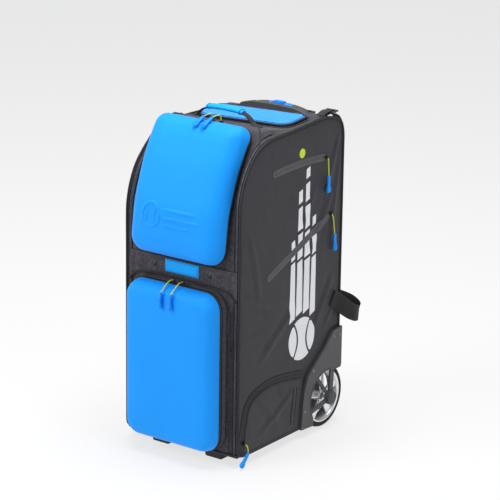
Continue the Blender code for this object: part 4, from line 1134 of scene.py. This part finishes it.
def upper_place(x, s, depth):
    """A point over the upper front: across it, up along its curve, and out of it."""
    s = s * PROFILE_LENGTH / CAD_PROFILE_LENGTH
    at = np.clip(s / PROFILE_LENGTH, 0, 1) * (len(PROFILE) - 1)
    i = int(min(at, len(PROFILE) - 2))
    p = PROFILE[i] + (PROFILE[i + 1] - PROFILE[i]) * (at - i)
    lo, hi = PROFILE[max(i - 12, 0)], PROFILE[min(i + 13, len(PROFILE) - 1)]
    d = (hi - lo) / np.linalg.norm(hi - lo)
    beyond = min(s, 0.0) + max(s - PROFILE_LENGTH, 0.0)
    depth += COVER_GAP
    return Vector((x, p[0] - d[1] * depth + d[0] * beyond, p[1] + d[0] * depth + d[1] * beyond))


def lower_place(x, s, depth):
    """A point of the lower cover: across, height, and depth out from the bag."""
    return Vector((x, FRONT_Y - COVER_GAP / 2 - depth, s))


def ring_at(place, s_range, inset, depth, least=0.003):
    corner = max(COVER_CORNER - inset, least)
    top_corner = max(UPPER_TOP_CORNER - inset, least) if place is upper_place else corner
    ring = rounded_ring(COVER_HX - inset, s_range[0] + inset, s_range[1] - inset, corner, top_corner=top_corner)
    return [place(x, s, depth) for x, s in ring]


def ring_loft(place, s_range, profile):
    """A closed (inset, depth) profile carried round a cover's outline."""
    rings = [ring_at(place, s_range, inset, depth) for inset, depth in profile]
    return [v for ring in rings for v in ring], between_rings(len(rings), len(rings[0]), closed=True)


def round_profile(inset, depth, radius, sides):
    """A round section for ring_loft, at an inset and a depth."""
    return [(inset + a, depth + b) for a, b in oval(radius, radius, sides)]


def cover_skin(place, s_range, depth, edge_shape, start, near, far):
    """A moulded shell beyond its start depth, between two distances in from the cover's outside."""
    shape = [(inset, share * depth) for inset, share in edge_shape if share * depth > start + 0.004]
    profile = smooth_path([(0.0, start), (0.0, start + 0.002)] + shape, 24)
    last = profile[-1][0]
    half_s = (s_range[1] - s_range[0]) / 2
    mid = sum(s_range) / 2

    def rings(more, less):
        made = []
        for inset, height in profile:
            made.append(ring_at(place, s_range, inset + more, max(height - less, start), 0.020))
        for share in (0.94, 0.87, 0.79, 0.70, 0.60, 0.50, 0.40, 0.30, 0.20, 0.10):
            hx, hs = (COVER_HX - last - more) * share, (half_s - last - more) * share
            ring = rounded_ring(hx, mid - hs, mid + hs, 0.020 * share + 0.02 * (1 - share))
            made.append([place(x, s, depth * (1 - 0.025 * share * share) - less) for x, s in ring])
        return made, place(0.0, mid, depth - less)

    outer, outer_tip = rings(near, near)
    inner, inner_tip = rings(far, far)
    n = len(outer[0])
    verts = [v for ring in outer for v in ring] + [outer_tip]
    first_inner = len(verts)
    verts += [v for ring in inner for v in ring] + [inner_tip]
    faces = []
    for begin in (0, first_inner):
        faces += between_rings(len(outer), n, begin)
        end = begin + (len(outer) - 1) * n
        faces += [(end + k, end + (k + 1) % n, end + n) for k in range(n)]
    faces += [(k, (k + 1) % n, first_inner + (k + 1) % n, first_inner + k) for k in range(n)]
    return verts, faces


def build_cover(name, place, s_range, depth, edge_shape, gusset):
    """A blue moulded shell on a dark zipped gusset that is gusset deep."""
    body = f"{name}_body"
    outside = cover_skin(place, s_range, depth, edge_shape, gusset, 0.0, 0.0042)
    shell = add_mesh(f"{name}_shell", *outside, shell_cloth, body, slot="shell_blue")
    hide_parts(name)
    inside_ = cover_skin(place, s_range, depth, edge_shape, gusset, 0.0046, 0.0060)
    add_mesh(f"{name}_lining", *inside_, liner, body)
    ribs = [(0.0002, 0.0002), (-0.0004, 0.0016), (0.0002, 0.0030)]
    steps = max(int((gusset - 0.004) / 0.0040), 1)
    for k in range(steps):
        base = 0.0030 + (gusset - 0.0040) * k / steps
        width = (gusset - 0.0040) / steps
        ribs += [(0.0010, base + 0.15 * width), (0.0003, base + 0.5 * width), (0.0010, base + 0.9 * width)]
    profile = ribs + [(0.0006, gusset - 0.0006), (0.0036, gusset - 0.0006), (0.0036, 0.0002)]
    end = gusset + 0.004
    for part, mat, around in (
        ("gusset", band_cloth, profile),
        ("gusset_lining", liner, [(0.0044, 0.0006), (0.0052, 0.0006), (0.0052, end), (0.0044, end)]),
        ("piping", binding, round_profile(-0.0004, gusset + 0.0003, 0.0019, 8)),
        ("hem", binding, round_profile(0.0004, 0.0012, 0.0013, 6)),
    ):
        add_mesh(f"{name}_{part}", *ring_loft(place, s_range, around), mat, body)
    bits = Bits()
    zip_depth = max(gusset - 0.0080, 0.0045)
    line = ring_at(place, s_range, 0.0002, zip_depth)
    outs = [p - q for p, q in zip(line, ring_at(place, s_range, 0.0052, zip_depth))]
    teeth_along(bits, line + line[:1], outs + outs[:1], 0.0025, (0.0012, 0.0008, 0.0010))
    bits.done(f"{name}_zip_teeth", teeth_black, body, smooth=False)


def build_emblem():
    """Raised ball and speed lines low on the upper shell: the same cloth pressed over a form."""
    def on_shell(x, s, lift):
        share = max(abs(x) / (COVER_HX - 0.05), abs(s - sum(UPPER_COVER_S) / 2) / (0.1745 - 0.05))
        return upper_place(x, s, UPPER_DEPTH * (1 - 0.025 * min(share, 1.0) ** 2) + lift)

    bits = Bits()
    bx, bs, r = -0.062, 0.112, 0.027

    def ridge(points, half, tall):
        """A rounded line along points of (x, s), which tapers at its ends."""
        rows = []
        pts = smooth_path(points, max(len(points) * 6, 24))
        for i, (p, n) in enumerate(zip(pts, flat_normals(pts))):
            end = min(i, len(pts) - 1 - i) / 3
            size = math.sqrt(max(1 - (1 - min(end, 1)) ** 2, 0.01))
            row = []
            for a in np.linspace(-1, 1, 7):
                q = p + n * half * a * size
                out = upper_place(q[0], q[1], 1.0) - upper_place(q[0], q[1], 0.0)
                row.append((tuple(on_shell(q[0], q[1], -0.0002 + tall * size * (1 - a * a))), tuple(-out)))
            rows.append(row)
        bits.add(*grid_shell(rows, 0.0012))

    ring = [(bx + r * math.cos(a), bs + r * math.sin(a)) for a in np.linspace(0.02, 2 * math.pi - 0.02, 30)]
    ridge(ring, 0.0042, 0.0027)
    for side in (-1, 1):
        seam = [(bx + side * (0.0105 + 0.010 * t * t), bs + 0.0205 * t) for t in np.linspace(-1, 1, 9)]
        ridge(seam, 0.0026, 0.0021)
    for length, s in ((0.104, 0.129), (0.118, 0.112), (0.090, 0.095)):
        ridge([(bx + r + 0.010 + length * t, s) for t in (0, 0.33, 0.66, 1)], 0.0046, 0.0027)
    bits.done("upper_cover_emblem", shell_cloth, "upper_cover_body", slot="shell_blue")


def build_covers():
    """Both covers, with the emblem on the upper one."""
    build_cover("upper_cover", upper_place, UPPER_COVER_S, UPPER_DEPTH, UPPER_EDGE, 0.0100)
    build_cover("lower_cover", lower_place, LOWER_COVER_Z, LOWER_DEPTH, LOWER_EDGE, 0.0280)
    build_emblem()


def build_front_band():
    """The blue tab between the covers, and the press studs beside it."""
    rows = []
    for z in np.linspace(0.4900, 0.5235, 12):
        row = []
        for x in np.linspace(-0.0540, 0.0540, 34):
            edge = float(ease(min(0.054 - abs(x), z - 0.4900, 0.5235 - z) / 0.004))
            stand = 0.0024 + 0.0022 * edge + 0.0004 * noise.noise(Vector((x * 40, z * 60, 8)))
            row.append(((x, FRONT_Y - stand, z), (0, 1, 0)))
        rows.append(row)
    # The tab's cloth is painted lighter than the shell's to make up for the shade the upper shell casts on it.
    tab = add_mesh("front_tab", *grid_shell(rows, 0.0022), strap_blue_painted_lighter, "bag", slot="shell_blue")
    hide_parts("front_strap")
    stitch = Bits()
    left, right, low, high = -0.0505, 0.0505, 0.4930, 0.5205
    for x0, z0, x1, z1 in ((left, low, right, low), (left, high, right, high),
                           (left, low, left, high), (right, low, right, high)):
        stitch_line(stitch, [(x0, FRONT_Y - 0.0048, z0), (x1, FRONT_Y - 0.0048, z1)], (0, -1, 0))
    stitch.done("front_tab_stitches", thread_blue, "bag")
    cap = [(0, -0.0006), (0.0068, -0.0006), (0.0068, 0.0006), (0.0060, 0.0012), (0.0046, 0.0013),
           (0.0044, 0.0024), (0.0036, 0.0033), (0.0018, 0.0037), (0, 0.0038)]
    for word, x in (("right", 0.090), ("left", -0.090)):
        stud = Bits()
        stud.turned(cap, 32, (x, FRONT_Y - 0.0012, 0.5040), (0, -1, 0))
        piece = stud.done(f"stud_{word}", stud_metal, "bag", slot="dark_metal")
        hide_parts(f"press_stud_{word}")


def stitch_line(bits, path, out, pitch=0.0042, length=0.0028, radius=0.00035):
    """A row of short raised stitches."""
    pts = np.array(path, float)
    along = lengths_along(pts)
    out = Vector(out).normalized()
    for k in range(int(along[-1] / pitch)):
        at = [np.clip((k + 0.5) * pitch + d * length, 0, along[-1]) for d in (-1 / 2, -1 / 6, 1 / 6, 1 / 2)]
        lifts = (-0.0003, 0.0002, 0.0002, -0.0003)
        line = [vector_at(a, along, pts) + out * lift for a, lift in zip(at, lifts)]
        bits.tube(line, radius, tuple(out), 5)


# ---------------------------------------------------------------- lid, handles and straps

LID_MID_Y, LID_HALF, LID_SLOPE = 0.066, (0.152, 0.055), 0.0780


def lid_ring(inset, up, corner=0.034):
    """The lid's outline, some way in from its edge and up from the top."""
    half_y = LID_HALF[1] - inset
    ring = rounded_ring(LID_HALF[0] - inset, LID_MID_Y - half_y, LID_MID_Y + half_y,
                        max(corner - inset, 0.008), 8, 20, 12)
    return [(x, y, 0.8546 + (y - 0.020) * LID_SLOPE - sag_at(x, y) + up) for x, y in ring]


def build_lid():
    """The padded lid with its piping, and the zip round it on the bag."""
    levels = [(0.0045, 0.0016), (0.0045, 0.0068), (0.0060, 0.0082), (0.0090, 0.0091), (0.0150, 0.0099),
              (0.0240, 0.0105), (0.0340, 0.0109), (0.0440, 0.0111), (0.0500, 0.0112)]
    verts, n = [], 0
    for inset, up in levels:
        ring = lid_ring(inset, up)
        n = len(ring)
        for x, y, z in ring:
            dip = 0.0008 * noise.noise(Vector((x * 18, y * 18, 3))) if inset > 0.008 else 0.0
            verts.append((x, y, z + dip))
    faces = [tuple(range(n)), tuple(range(len(verts) - n, len(verts)))] + between_rings(len(levels), n)
    panel = add_mesh("lid_panel", verts, faces, lid_cloth, "lid_body", slot="lid_blue")
    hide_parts("top_lid")
    trim = Bits()
    trim.tube(lid_ring(0.0016, 0.0060), 0.0031, (0, 0, 1), 8, flat=1.15, closed=True)
    trim.tube(lid_ring(0.0078, 0.0088), 0.0009, (0, 0, 1), 6, closed=True)
    trim.done("lid_binding", binding, "lid_body")
    teeth = Bits()
    line = [Vector(p) for p in lid_ring(-0.0030, 0.0022)]
    teeth_along(teeth, line + line[:1], [Vector((0, 0, 1))] * (len(line) + 1), 0.0026, (0.0013, 0.0008, 0.0009))
    teeth.done("lid_zip_teeth", teeth_black, "bag", smooth=False)
    edge = Bits()
    edge.tube(lid_ring(-0.0062, 0.0014), 0.0022, (0, 0, 1), 7, closed=True)
    edge.done("lid_zip_tape", tape, "bag")


def build_grab_handle():
    """The webbing handle at the front of the top, with its padded wrap."""
    arch = [(0.0850, 0.8730), (0.077, 0.881), (0.063, 0.8895), (0.042, 0.8945), (0.0, 0.896)]
    path = smooth_path([(x, -0.048, z) for x, z in mirrored(arch)], 60)
    strap = Bits()
    strap.strap(path, 0.020, 0.0022, (0, 1, 0))
    piece = strap.done("grab_strap", webbing_x, "grab_handle", slot="webbing")
    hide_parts("grab_webbing")
    middle = path[11:49]
    last = len(middle) - 1
    scales = [1 - 0.16 * max(1 - min(i, last - i) / 3, 0) + 0.02 * math.sin(i * 1.7) for i in range(last + 1)]
    wrap = Bits()
    section = [(a, b + 0.0010) for a, b in oval(0.0126, 0.0070, 20)]
    wrap.add(*tube_mesh(middle, section, (0, 1, 0), scales=scales))
    grip = wrap.done("grab_wrap", strap_blue_painted_lighter, "grab_handle", slot="grip_blue")
    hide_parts("grab_grip")
    seams = Bits()
    u = Vector((0, 1, 0))
    for i in (2, last - 2):
        along = Vector(middle[i + 1] - middle[i - 1]).normalized()
        v = along.cross(u)
        ring = [Vector(middle[i]) + u * a + v * (b + 0.0010) for a, b in oval(0.0127, 0.0071, 20)]
        seams.tube(ring, 0.0007, along, 6, closed=True)
    seams.done("grab_wrap_seams", binding, "grab_handle")


BUTTON_HALF = (0.0165, 0.0058)


def thumb_recess(points, faces, floor):
    """Sinks the top of the grip round the release button, which needs 3 mm of travel."""
    def near(x, y):
        return abs(x) < BUTTON_HALF[0] + 0.0023 and abs(y - TUBE_Y) < BUTTON_HALF[1] + 0.0027

    return [(x, y, min(z, floor) if near(x, y) else z) for x, y, z in points], faces


def build_trolley_handle():
    """The telescopic handle: its bezel, tubes, grip and release button."""
    carry_over("handle_bezel", handle_plastic, 0.0018)
    for word in ("right", "left"):
        carry_over(f"handle_sleeve_{word}", aluminium, 0)
        carry_over(f"handle_stem_{word}", aluminium, 0.0004)
    half = [(0.0905, 0.8435), (0.0885, 0.8462), (0.0820, 0.8498), (0.0680, 0.8535), (0.0500, 0.8565),
            (0.0260, 0.8583), (0.0, 0.8590)]
    curve = smooth_path([(x, TUBE_Y, z) for x, z in mirrored(half)], 60)
    scales = [math.sqrt(max(1 - (1 - min(min(i, 59 - i) / 5, 1)) ** 2, 0.12)) for i in range(60)]
    body = Bits()
    section = oval(0.0130, 0.0104, 24, 0.75, 0.8)
    body.add(*thumb_recess(*tube_mesh(curve, section, (0, 1, 0), scales=scales), 0.8630))
    grip = body.done("trolley_grip", handle_plastic, "trolley_handle", slot="moulded")
    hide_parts("handle_grip")
    inlay = Bits()
    wider = [(1.02 * a, 1.02 * b) for a, b in section]
    inlay.add(*thumb_recess(*tube_mesh(curve[20:44], wider, (0, 1, 0)), 0.8637))
    for i in (21, 23, 37, 39, 41):
        ring = [Vector(curve[i]) + Vector((0, a, b)) for a, b in oval(0.0136, 0.0109, 20)]
        inlay.tube(ring, 0.0007, (1, 0, 0), 5, closed=True)
    inlay.done("trolley_grip_inlay", grip_blue, "trolley_handle", slot="grip_blue")
    cap = Bits()
    rows = []
    for u in np.linspace(-1, 1, 16):
        row = []
        for v in np.linspace(-1, 1, 8):
            z = 0.8722 + 0.0008 * (1 - u * u) - 0.0010 * v**4
            row.append(((u * BUTTON_HALF[0], TUBE_Y + v * BUTTON_HALF[1], z), (0, 0, -1)))
        rows.append(row)
    cap.add(*grid_shell(rows, 0.0040))
    for x in (-0.0110, -0.0055, 0.0, 0.0055, 0.0110):
        cap.tube([(x, TUBE_Y - 0.0040, 0.8729), (x, TUBE_Y + 0.0040, 0.8729)], 0.0006, (0, 0, 1), 6)
    button = cap.done("release_cap", pull_plastic, "release_button", slot="moulded")
    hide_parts("handle_button")


def build_straps():
    """The loop for a ball tube at the rear edge, and the strap with its buckle at the top rear corner."""
    path = smooth_path([
        (0.1884, 0.188, 0.3600), (0.1918, 0.206, 0.3480), (0.2030, 0.237, 0.3200), (0.2115, 0.265, 0.3030),
        (0.2090, 0.281, 0.3020), (0.1970, 0.285, 0.3110), (0.1810, 0.275, 0.3260), (0.1650, 0.254, 0.3390),
        (0.1540, 0.236, 0.3460), (0.1440, 0.2310, 0.3480)], 60)
    loop = Bits()
    loop.strap(path, 0.045, 0.0026, (0, 0, 1))
    piece = loop.done("tube_loop", webbing, "bag", slot="webbing")
    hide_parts("strap_loop")
    bar = Bits()
    bar.block((0.1862, 0.1930, 0.3560), (0.0016, 0, 0), (0, 0.0050, -0.0030), (0, 0.0110, 0.0190))
    bar.done("tube_loop_tack", binding, "bag")
    x = 0.170
    run = [(0.1500, 0.8680), (0.168, 0.8690), (0.190, 0.8650), (0.208, 0.8555), (0.2215, 0.8385),
           (0.2288, 0.8180), (0.2292, 0.7900)]
    tail = [(0.1735, 0.8745), (0.166, 0.8772), (0.154, 0.8762), (0.142, 0.8722), (0.132, 0.8700)]
    over = [(0.1735, 0.8748), (0.1798, 0.8775), (0.1870, 0.8748), (0.192, 0.8672)]
    strap = Bits()
    pieces = ((run, 40, 0.024, 0.0024), (tail, 20, 0.023, 0.0022), (over, 16, 0.022, 0.0022))
    for line, count, width, thick in pieces:
        strap.strap(smooth_path([(x, y, z) for y, z in line], count), width, thick, (1, 0, 0))
    piece = strap.done("rear_corner_strap", webbing_x, "bag", slot="webbing")
    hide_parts("corner_strap")
    buckle = Bits()
    for side in (-0.0142, 0.0142):
        buckle.tube([(x + side, 0.1665, 0.8728), (x + side, 0.1940, 0.8728)], 0.0027, (0, 0, 1), 10)
    for y, z, r in ((0.1670, 0.8728, 0.0026), (0.1802, 0.8722, 0.0022), (0.1935, 0.8728, 0.0026)):
        buckle.tube([(x - 0.0142, y, z), (x + 0.0142, y, z)], r, (0, 0, 1), 10)
    piece = buckle.done("rear_corner_buckle", moulded, "bag", slot="moulded")
    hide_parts("corner_buckle")


# ---------------------------------------------------------------- zip pulls

def build_pull(node, slider, knee, grip_start, grip_end, out, along):
    """A zip slider, the lime cord through its bridge and the moulded grip on the cord's end."""
    slider, out, along = Vector(slider), Vector(out).normalized(), Vector(along).normalized()
    start, end = Vector(grip_start), Vector(grip_end)
    side = out.cross(along).normalized()
    axis = (end - start).normalized()
    across = along if abs(axis.dot(side)) > 0.8 else side
    metal_part = Bits()
    rows = []
    for t in np.linspace(-1, 1, 9):
        wide = 0.0036 - 0.0009 * (t + 1) / 2
        row = []
        for a in np.linspace(-1, 1, 7):
            lift = 0.0012 - 0.0008 * t**4 - 0.0006 * a**4
            row.append((slider + along * 0.0050 * t + side * wide * a + out * lift, -out))
        rows.append(row)
    metal_part.add(*grid_shell(rows, 0.0032))
    arch = np.linspace(0, math.pi, 9)
    bridge = [slider + along * 0.0038 * math.cos(a) + out * (0.0006 + 0.0034 * math.sin(a)) for a in arch]
    metal_part.tube(bridge, 0.0008, side, 7, flat=1.2)
    piece = metal_part.done(f"{node}_slider", slider_metal, node, slot="dark_metal")
    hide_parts(node)
    route = smooth_path([tuple(slider + out * 0.0030), knee, grip_start, tuple(start + axis * 0.010)], 24)
    strand = Bits()
    strand.tube(route, 0.0015, across, 10)
    cord = strand.done(f"{node}_cord", cord_lime, node, slot="lime")
    total = (end - start).length
    grip = Bits()
    profile = [(-0.04, 0.0026), (0.0, 0.0040), (0.05, 0.0049), (0.30, 0.0051), (0.55, 0.0051), (0.64, 0.0054),
               (0.70, 0.0065), (0.82, 0.0075), (0.92, 0.0073), (0.98, 0.0056), (1.01, 0.0026)]
    line = [start + axis * total * t for t, _ in profile]
    grip.add(*tube_mesh(line, oval(1.0, 0.68, 16, 0.7, 0.7), across, scales=[r for _, r in profile]))
    face = axis.cross(across).normalized()
    if face.dot(out) < 0:
        face = -face
    eye = start + axis * total * 0.84 + face * 0.0050
    grip.tube([eye + axis * a + across * b for a, b in oval(0.0042, 0.0042, 18)], 0.0008, face, 6, closed=True)
    for t in (0.12, 0.20, 0.28, 0.36, 0.44):
        centre = start + axis * total * t
        ring = [centre + across * a + face * b for a, b in oval(0.0048, 0.0034, 16)]
        grip.tube(ring, 0.0005, axis, 5, closed=True)
    handle = grip.done(f"{node}_grip", pull_plastic, node, slot="pull_blue")


def build_pulls():
    """All seven zip pulls."""
    for word, x in (("right", 0.024), ("left", -0.002)):
        build_pull(f"upper_pull_{word}", (x, -0.0980, 0.8735), (x - 0.001, -0.1030, 0.8915),
                   (x + 0.006, -0.1450, 0.8940), (x + 0.006, -0.1860, 0.8755), (0, -0.511, 0.860), (1, 0, 0))
    for word, x in (("right", 0.020), ("left", -0.012)):
        build_pull(f"lower_pull_{word}", (x, -0.2480, 0.4765), (x, -0.2680, 0.4785), (x, -0.3000, 0.4570),
                   (x, -0.3040, 0.4170), (0, 0, 1), (1, 0, 0))
    x = HALF_W + 0.0056
    far = x + 0.004
    build_pull("side_pull_upper", (x, 0.143, 0.7580), (far, 0.1445, 0.742), (far, 0.147, 0.708),
               (far, 0.147, 0.663), (1, 0, 0), (0, 1, 0))
    build_pull("side_pull_diagonal", (x, 0.168, 0.6000), (far, 0.174, 0.582), (far, 0.181, 0.543),
               (far, 0.184, 0.496), (1, 0, 0), (0, 0.9308, 0.3657))
    build_pull("side_pull_pocket", (x, -0.205, 0.0640), (far, -0.196, 0.052), (far + 0.002, -0.196, 0.036),
               (far + 0.006, -0.232, 0.009), (1, 0, 0), (0, -0.1710, -0.9853))


# ---------------------------------------------------------------- wheels

def build_rim(sign, word):
    """A chromed rim with five spokes and a hub."""
    centre = (sign * WHEEL_X, WHEEL_Y, WHEEL_R)
    out = (sign, 0, 0)
    rim = Bits()
    rim.turned([(0.0655, -0.0165), (0.0722, -0.0165), (0.0738, -0.0150), (0.0738, -0.0135), (0.0706, -0.0110),
                (0.0702, 0.0110), (0.0738, 0.0135), (0.0740, 0.0155), (0.0728, 0.0170), (0.0700, 0.0172),
                (0.0682, 0.0160), (0.0668, 0.0120), (0.0648, 0.0040), (0.0640, -0.0060)], 96, centre, out)
    rim.turned([(0.0054, -0.0175), (0.0165, -0.0175), (0.0172, -0.0168), (0.0172, 0.0130), (0.0160, 0.0160),
                (0.0120, 0.0172), (0.0054, 0.0175)], 48, centre, out)
    section = oval(0.0044, 0.0098, 18, 1.0, 0.8)
    spoke = [(0.010, 0.0085), (0.022, 0.0092), (0.036, 0.0085), (0.050, 0.0072), (0.061, 0.0062),
             (0.0672, 0.0058)]
    hub = Vector(centre)
    for k in range(5):
        angle = 2 * math.pi * (k + 0.25) / 5
        radial = Vector((0.0, math.cos(angle), math.sin(angle)))
        line = smooth_path([hub + radial * r + Vector((sign * lift, 0, 0)) for r, lift in spoke], 22)
        rim.add(*tube_mesh(line, section, (1, 0, 0), scales=np.linspace(0.92, 1.42, 22)))
    piece = rim.done(f"rim_{word}", chrome, f"wheel_{word}", slot="chrome")
    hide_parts(f"wheel_rim_{word}")


def build_tyre(sign, word):
    """A grooved tyre."""
    centre = (sign * WHEEL_X, WHEEL_Y, WHEEL_R)
    tyre = Bits()
    half = [(0.0712, -0.0110), (0.0742, -0.0150), (0.0750, -0.0172), (0.0790, -0.0180), (0.0830, -0.0172),
            (0.0862, -0.0140), (0.0873, -0.0100), (0.0875, -0.0050), (0.0862, -0.0042), (0.0862, -0.0032),
            (0.0875, -0.0024)]
    profile = half + [(radius, -height) for radius, height in half[::-1]]
    tyre.turned(profile, 120, centre, (sign, 0, 0))
    piece = tyre.done(f"tyre_{word}", tyre_rubber, f"wheel_{word}", slot="rubber")
    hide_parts(f"wheel_tyre_{word}")


def build_housing(sign, word):
    """A wheel's axle and the fairing round it, with its rivets, hub cap and lip."""
    carry_over(f"wheel_housing_{word}", housing_plastic, 0.0012)
    carry_over(f"wheel_axle_{word}", steel, 0)
    rivets = Bits()
    head = [(0, -0.001), (0.0040, -0.001), (0.0040, 0.0004), (0.0034, 0.0012), (0.0018, 0.0017),
            (0, 0.0018)]
    for y, z in ((0.1945, 0.2505), (0.0975, 0.1795), (0.0620, 0.0730), (0.2205, 0.2500)):
        rivets.turned(head, 20, (sign * 0.1930, y, z), (sign, 0, 0))
    rivets.done(f"housing_rivets_{word}", rivet_metal, "bag")
    cap = Bits()
    hub = (sign * 0.2120, WHEEL_Y, WHEEL_R)
    cap.turned([(0, -0.0005), (0.0160, -0.0005), (0.0160, 0.0004), (0.0150, 0.0010), (0.0120, 0.0012),
                (0.0115, 0.0006), (0.0060, 0.0006), (0.0055, 0.0016), (0, 0.0018)], 40, hub, (sign, 0, 0))
    cap.done(f"hub_cap_{word}", housing_plastic, "bag")
    lip = Bits()
    turn = np.radians(np.linspace(66, 213, 44))
    edge = [(sign * 0.1932, WHEEL_Y + 0.0760 * math.cos(a), WHEEL_R + 0.0760 * math.sin(a)) for a in turn]
    lip.tube(edge, 0.0012, (1, 0, 0), 8)
    lip.done(f"housing_lip_{word}", housing_plastic, "bag")


# ---------------------------------------------------------------- inside

def build_inside():
    """What the bag holds, carried over from the CAD with its own materials."""
    for mat, bevel, nodes in (
        (tray_plastic, 0.0010, "base_tray"), (tray_plastic, 0.0008, "middle_shelf"),
        (tray_plastic, 0.0004, "drop_tube hopper_bowl"), (battery_case, 0.0025, "battery_pack"),
        (moulded, 0.0012, "control_panel"), (steel_up, 0.0006, "feed_motor"), (launch_rubber, 0.0010, "feed_disc"),
        (launcher_grey, 0.0008, "launcher_base launcher_chassis"),
        (steel, 0.0006, "launch_motor_upper launch_motor_lower"),
        (launch_rubber, 0.0008, "launch_wheel_upper launch_wheel_lower"),
        (grip_blue, 0.0008, "angle_knob speed_knob frequency_knob"), (lime_plastic, 0.0006, "power_button"),
        (foot_rubber, 0.0020, "front_foot_right front_foot_left"),
    ):
        for node in nodes.split():
            carry_over(node, mat, bevel)
    screws = Bits()
    head = [(0, 0), (0.0045, 0), (0.0045, 0.0012), (0.0034, 0.0024), (0.0014, 0.0026), (0, 0.0020)]
    for x in (-0.125, 0.125):
        for y in (-0.110, 0.040):
            screws.turned(head, 20, (x, y, 0.5105), (0, 0, 1))
    screws.done("launcher_screws", rivet_metal, "bag")
    strap = Bits()
    half = [(0.0590, 0.5075), (0.0590, 0.560), (0.0575, 0.5795), (0.045, 0.5805), (0.0, 0.5806)]
    strap.strap(smooth_path([(x, 0.111, z) for x, z in mirrored(half)], 60), 0.025, 0.0016, (0, 1, 0))
    strap.done("battery_strap", webbing_x, "bag", slot="webbing")


# ---------------------------------------------------------------- everything

add_camera()
add_stage()
build_pulls()
for side_sign, side_word in ((1, "right"), (-1, "left")):
    build_side(side_sign, side_word)
    build_side_zips(side_sign, side_word)
    build_print(side_sign, side_word)
    build_rim(side_sign, side_word)
    build_tyre(side_sign, side_word)
    build_housing(side_sign, side_word)
build_upper_front()
build_lower_front()
build_top()
build_back()
build_covers()
build_front_band()
build_lid()
build_grab_handle()
build_trolley_handle()
build_straps()
build_inside()
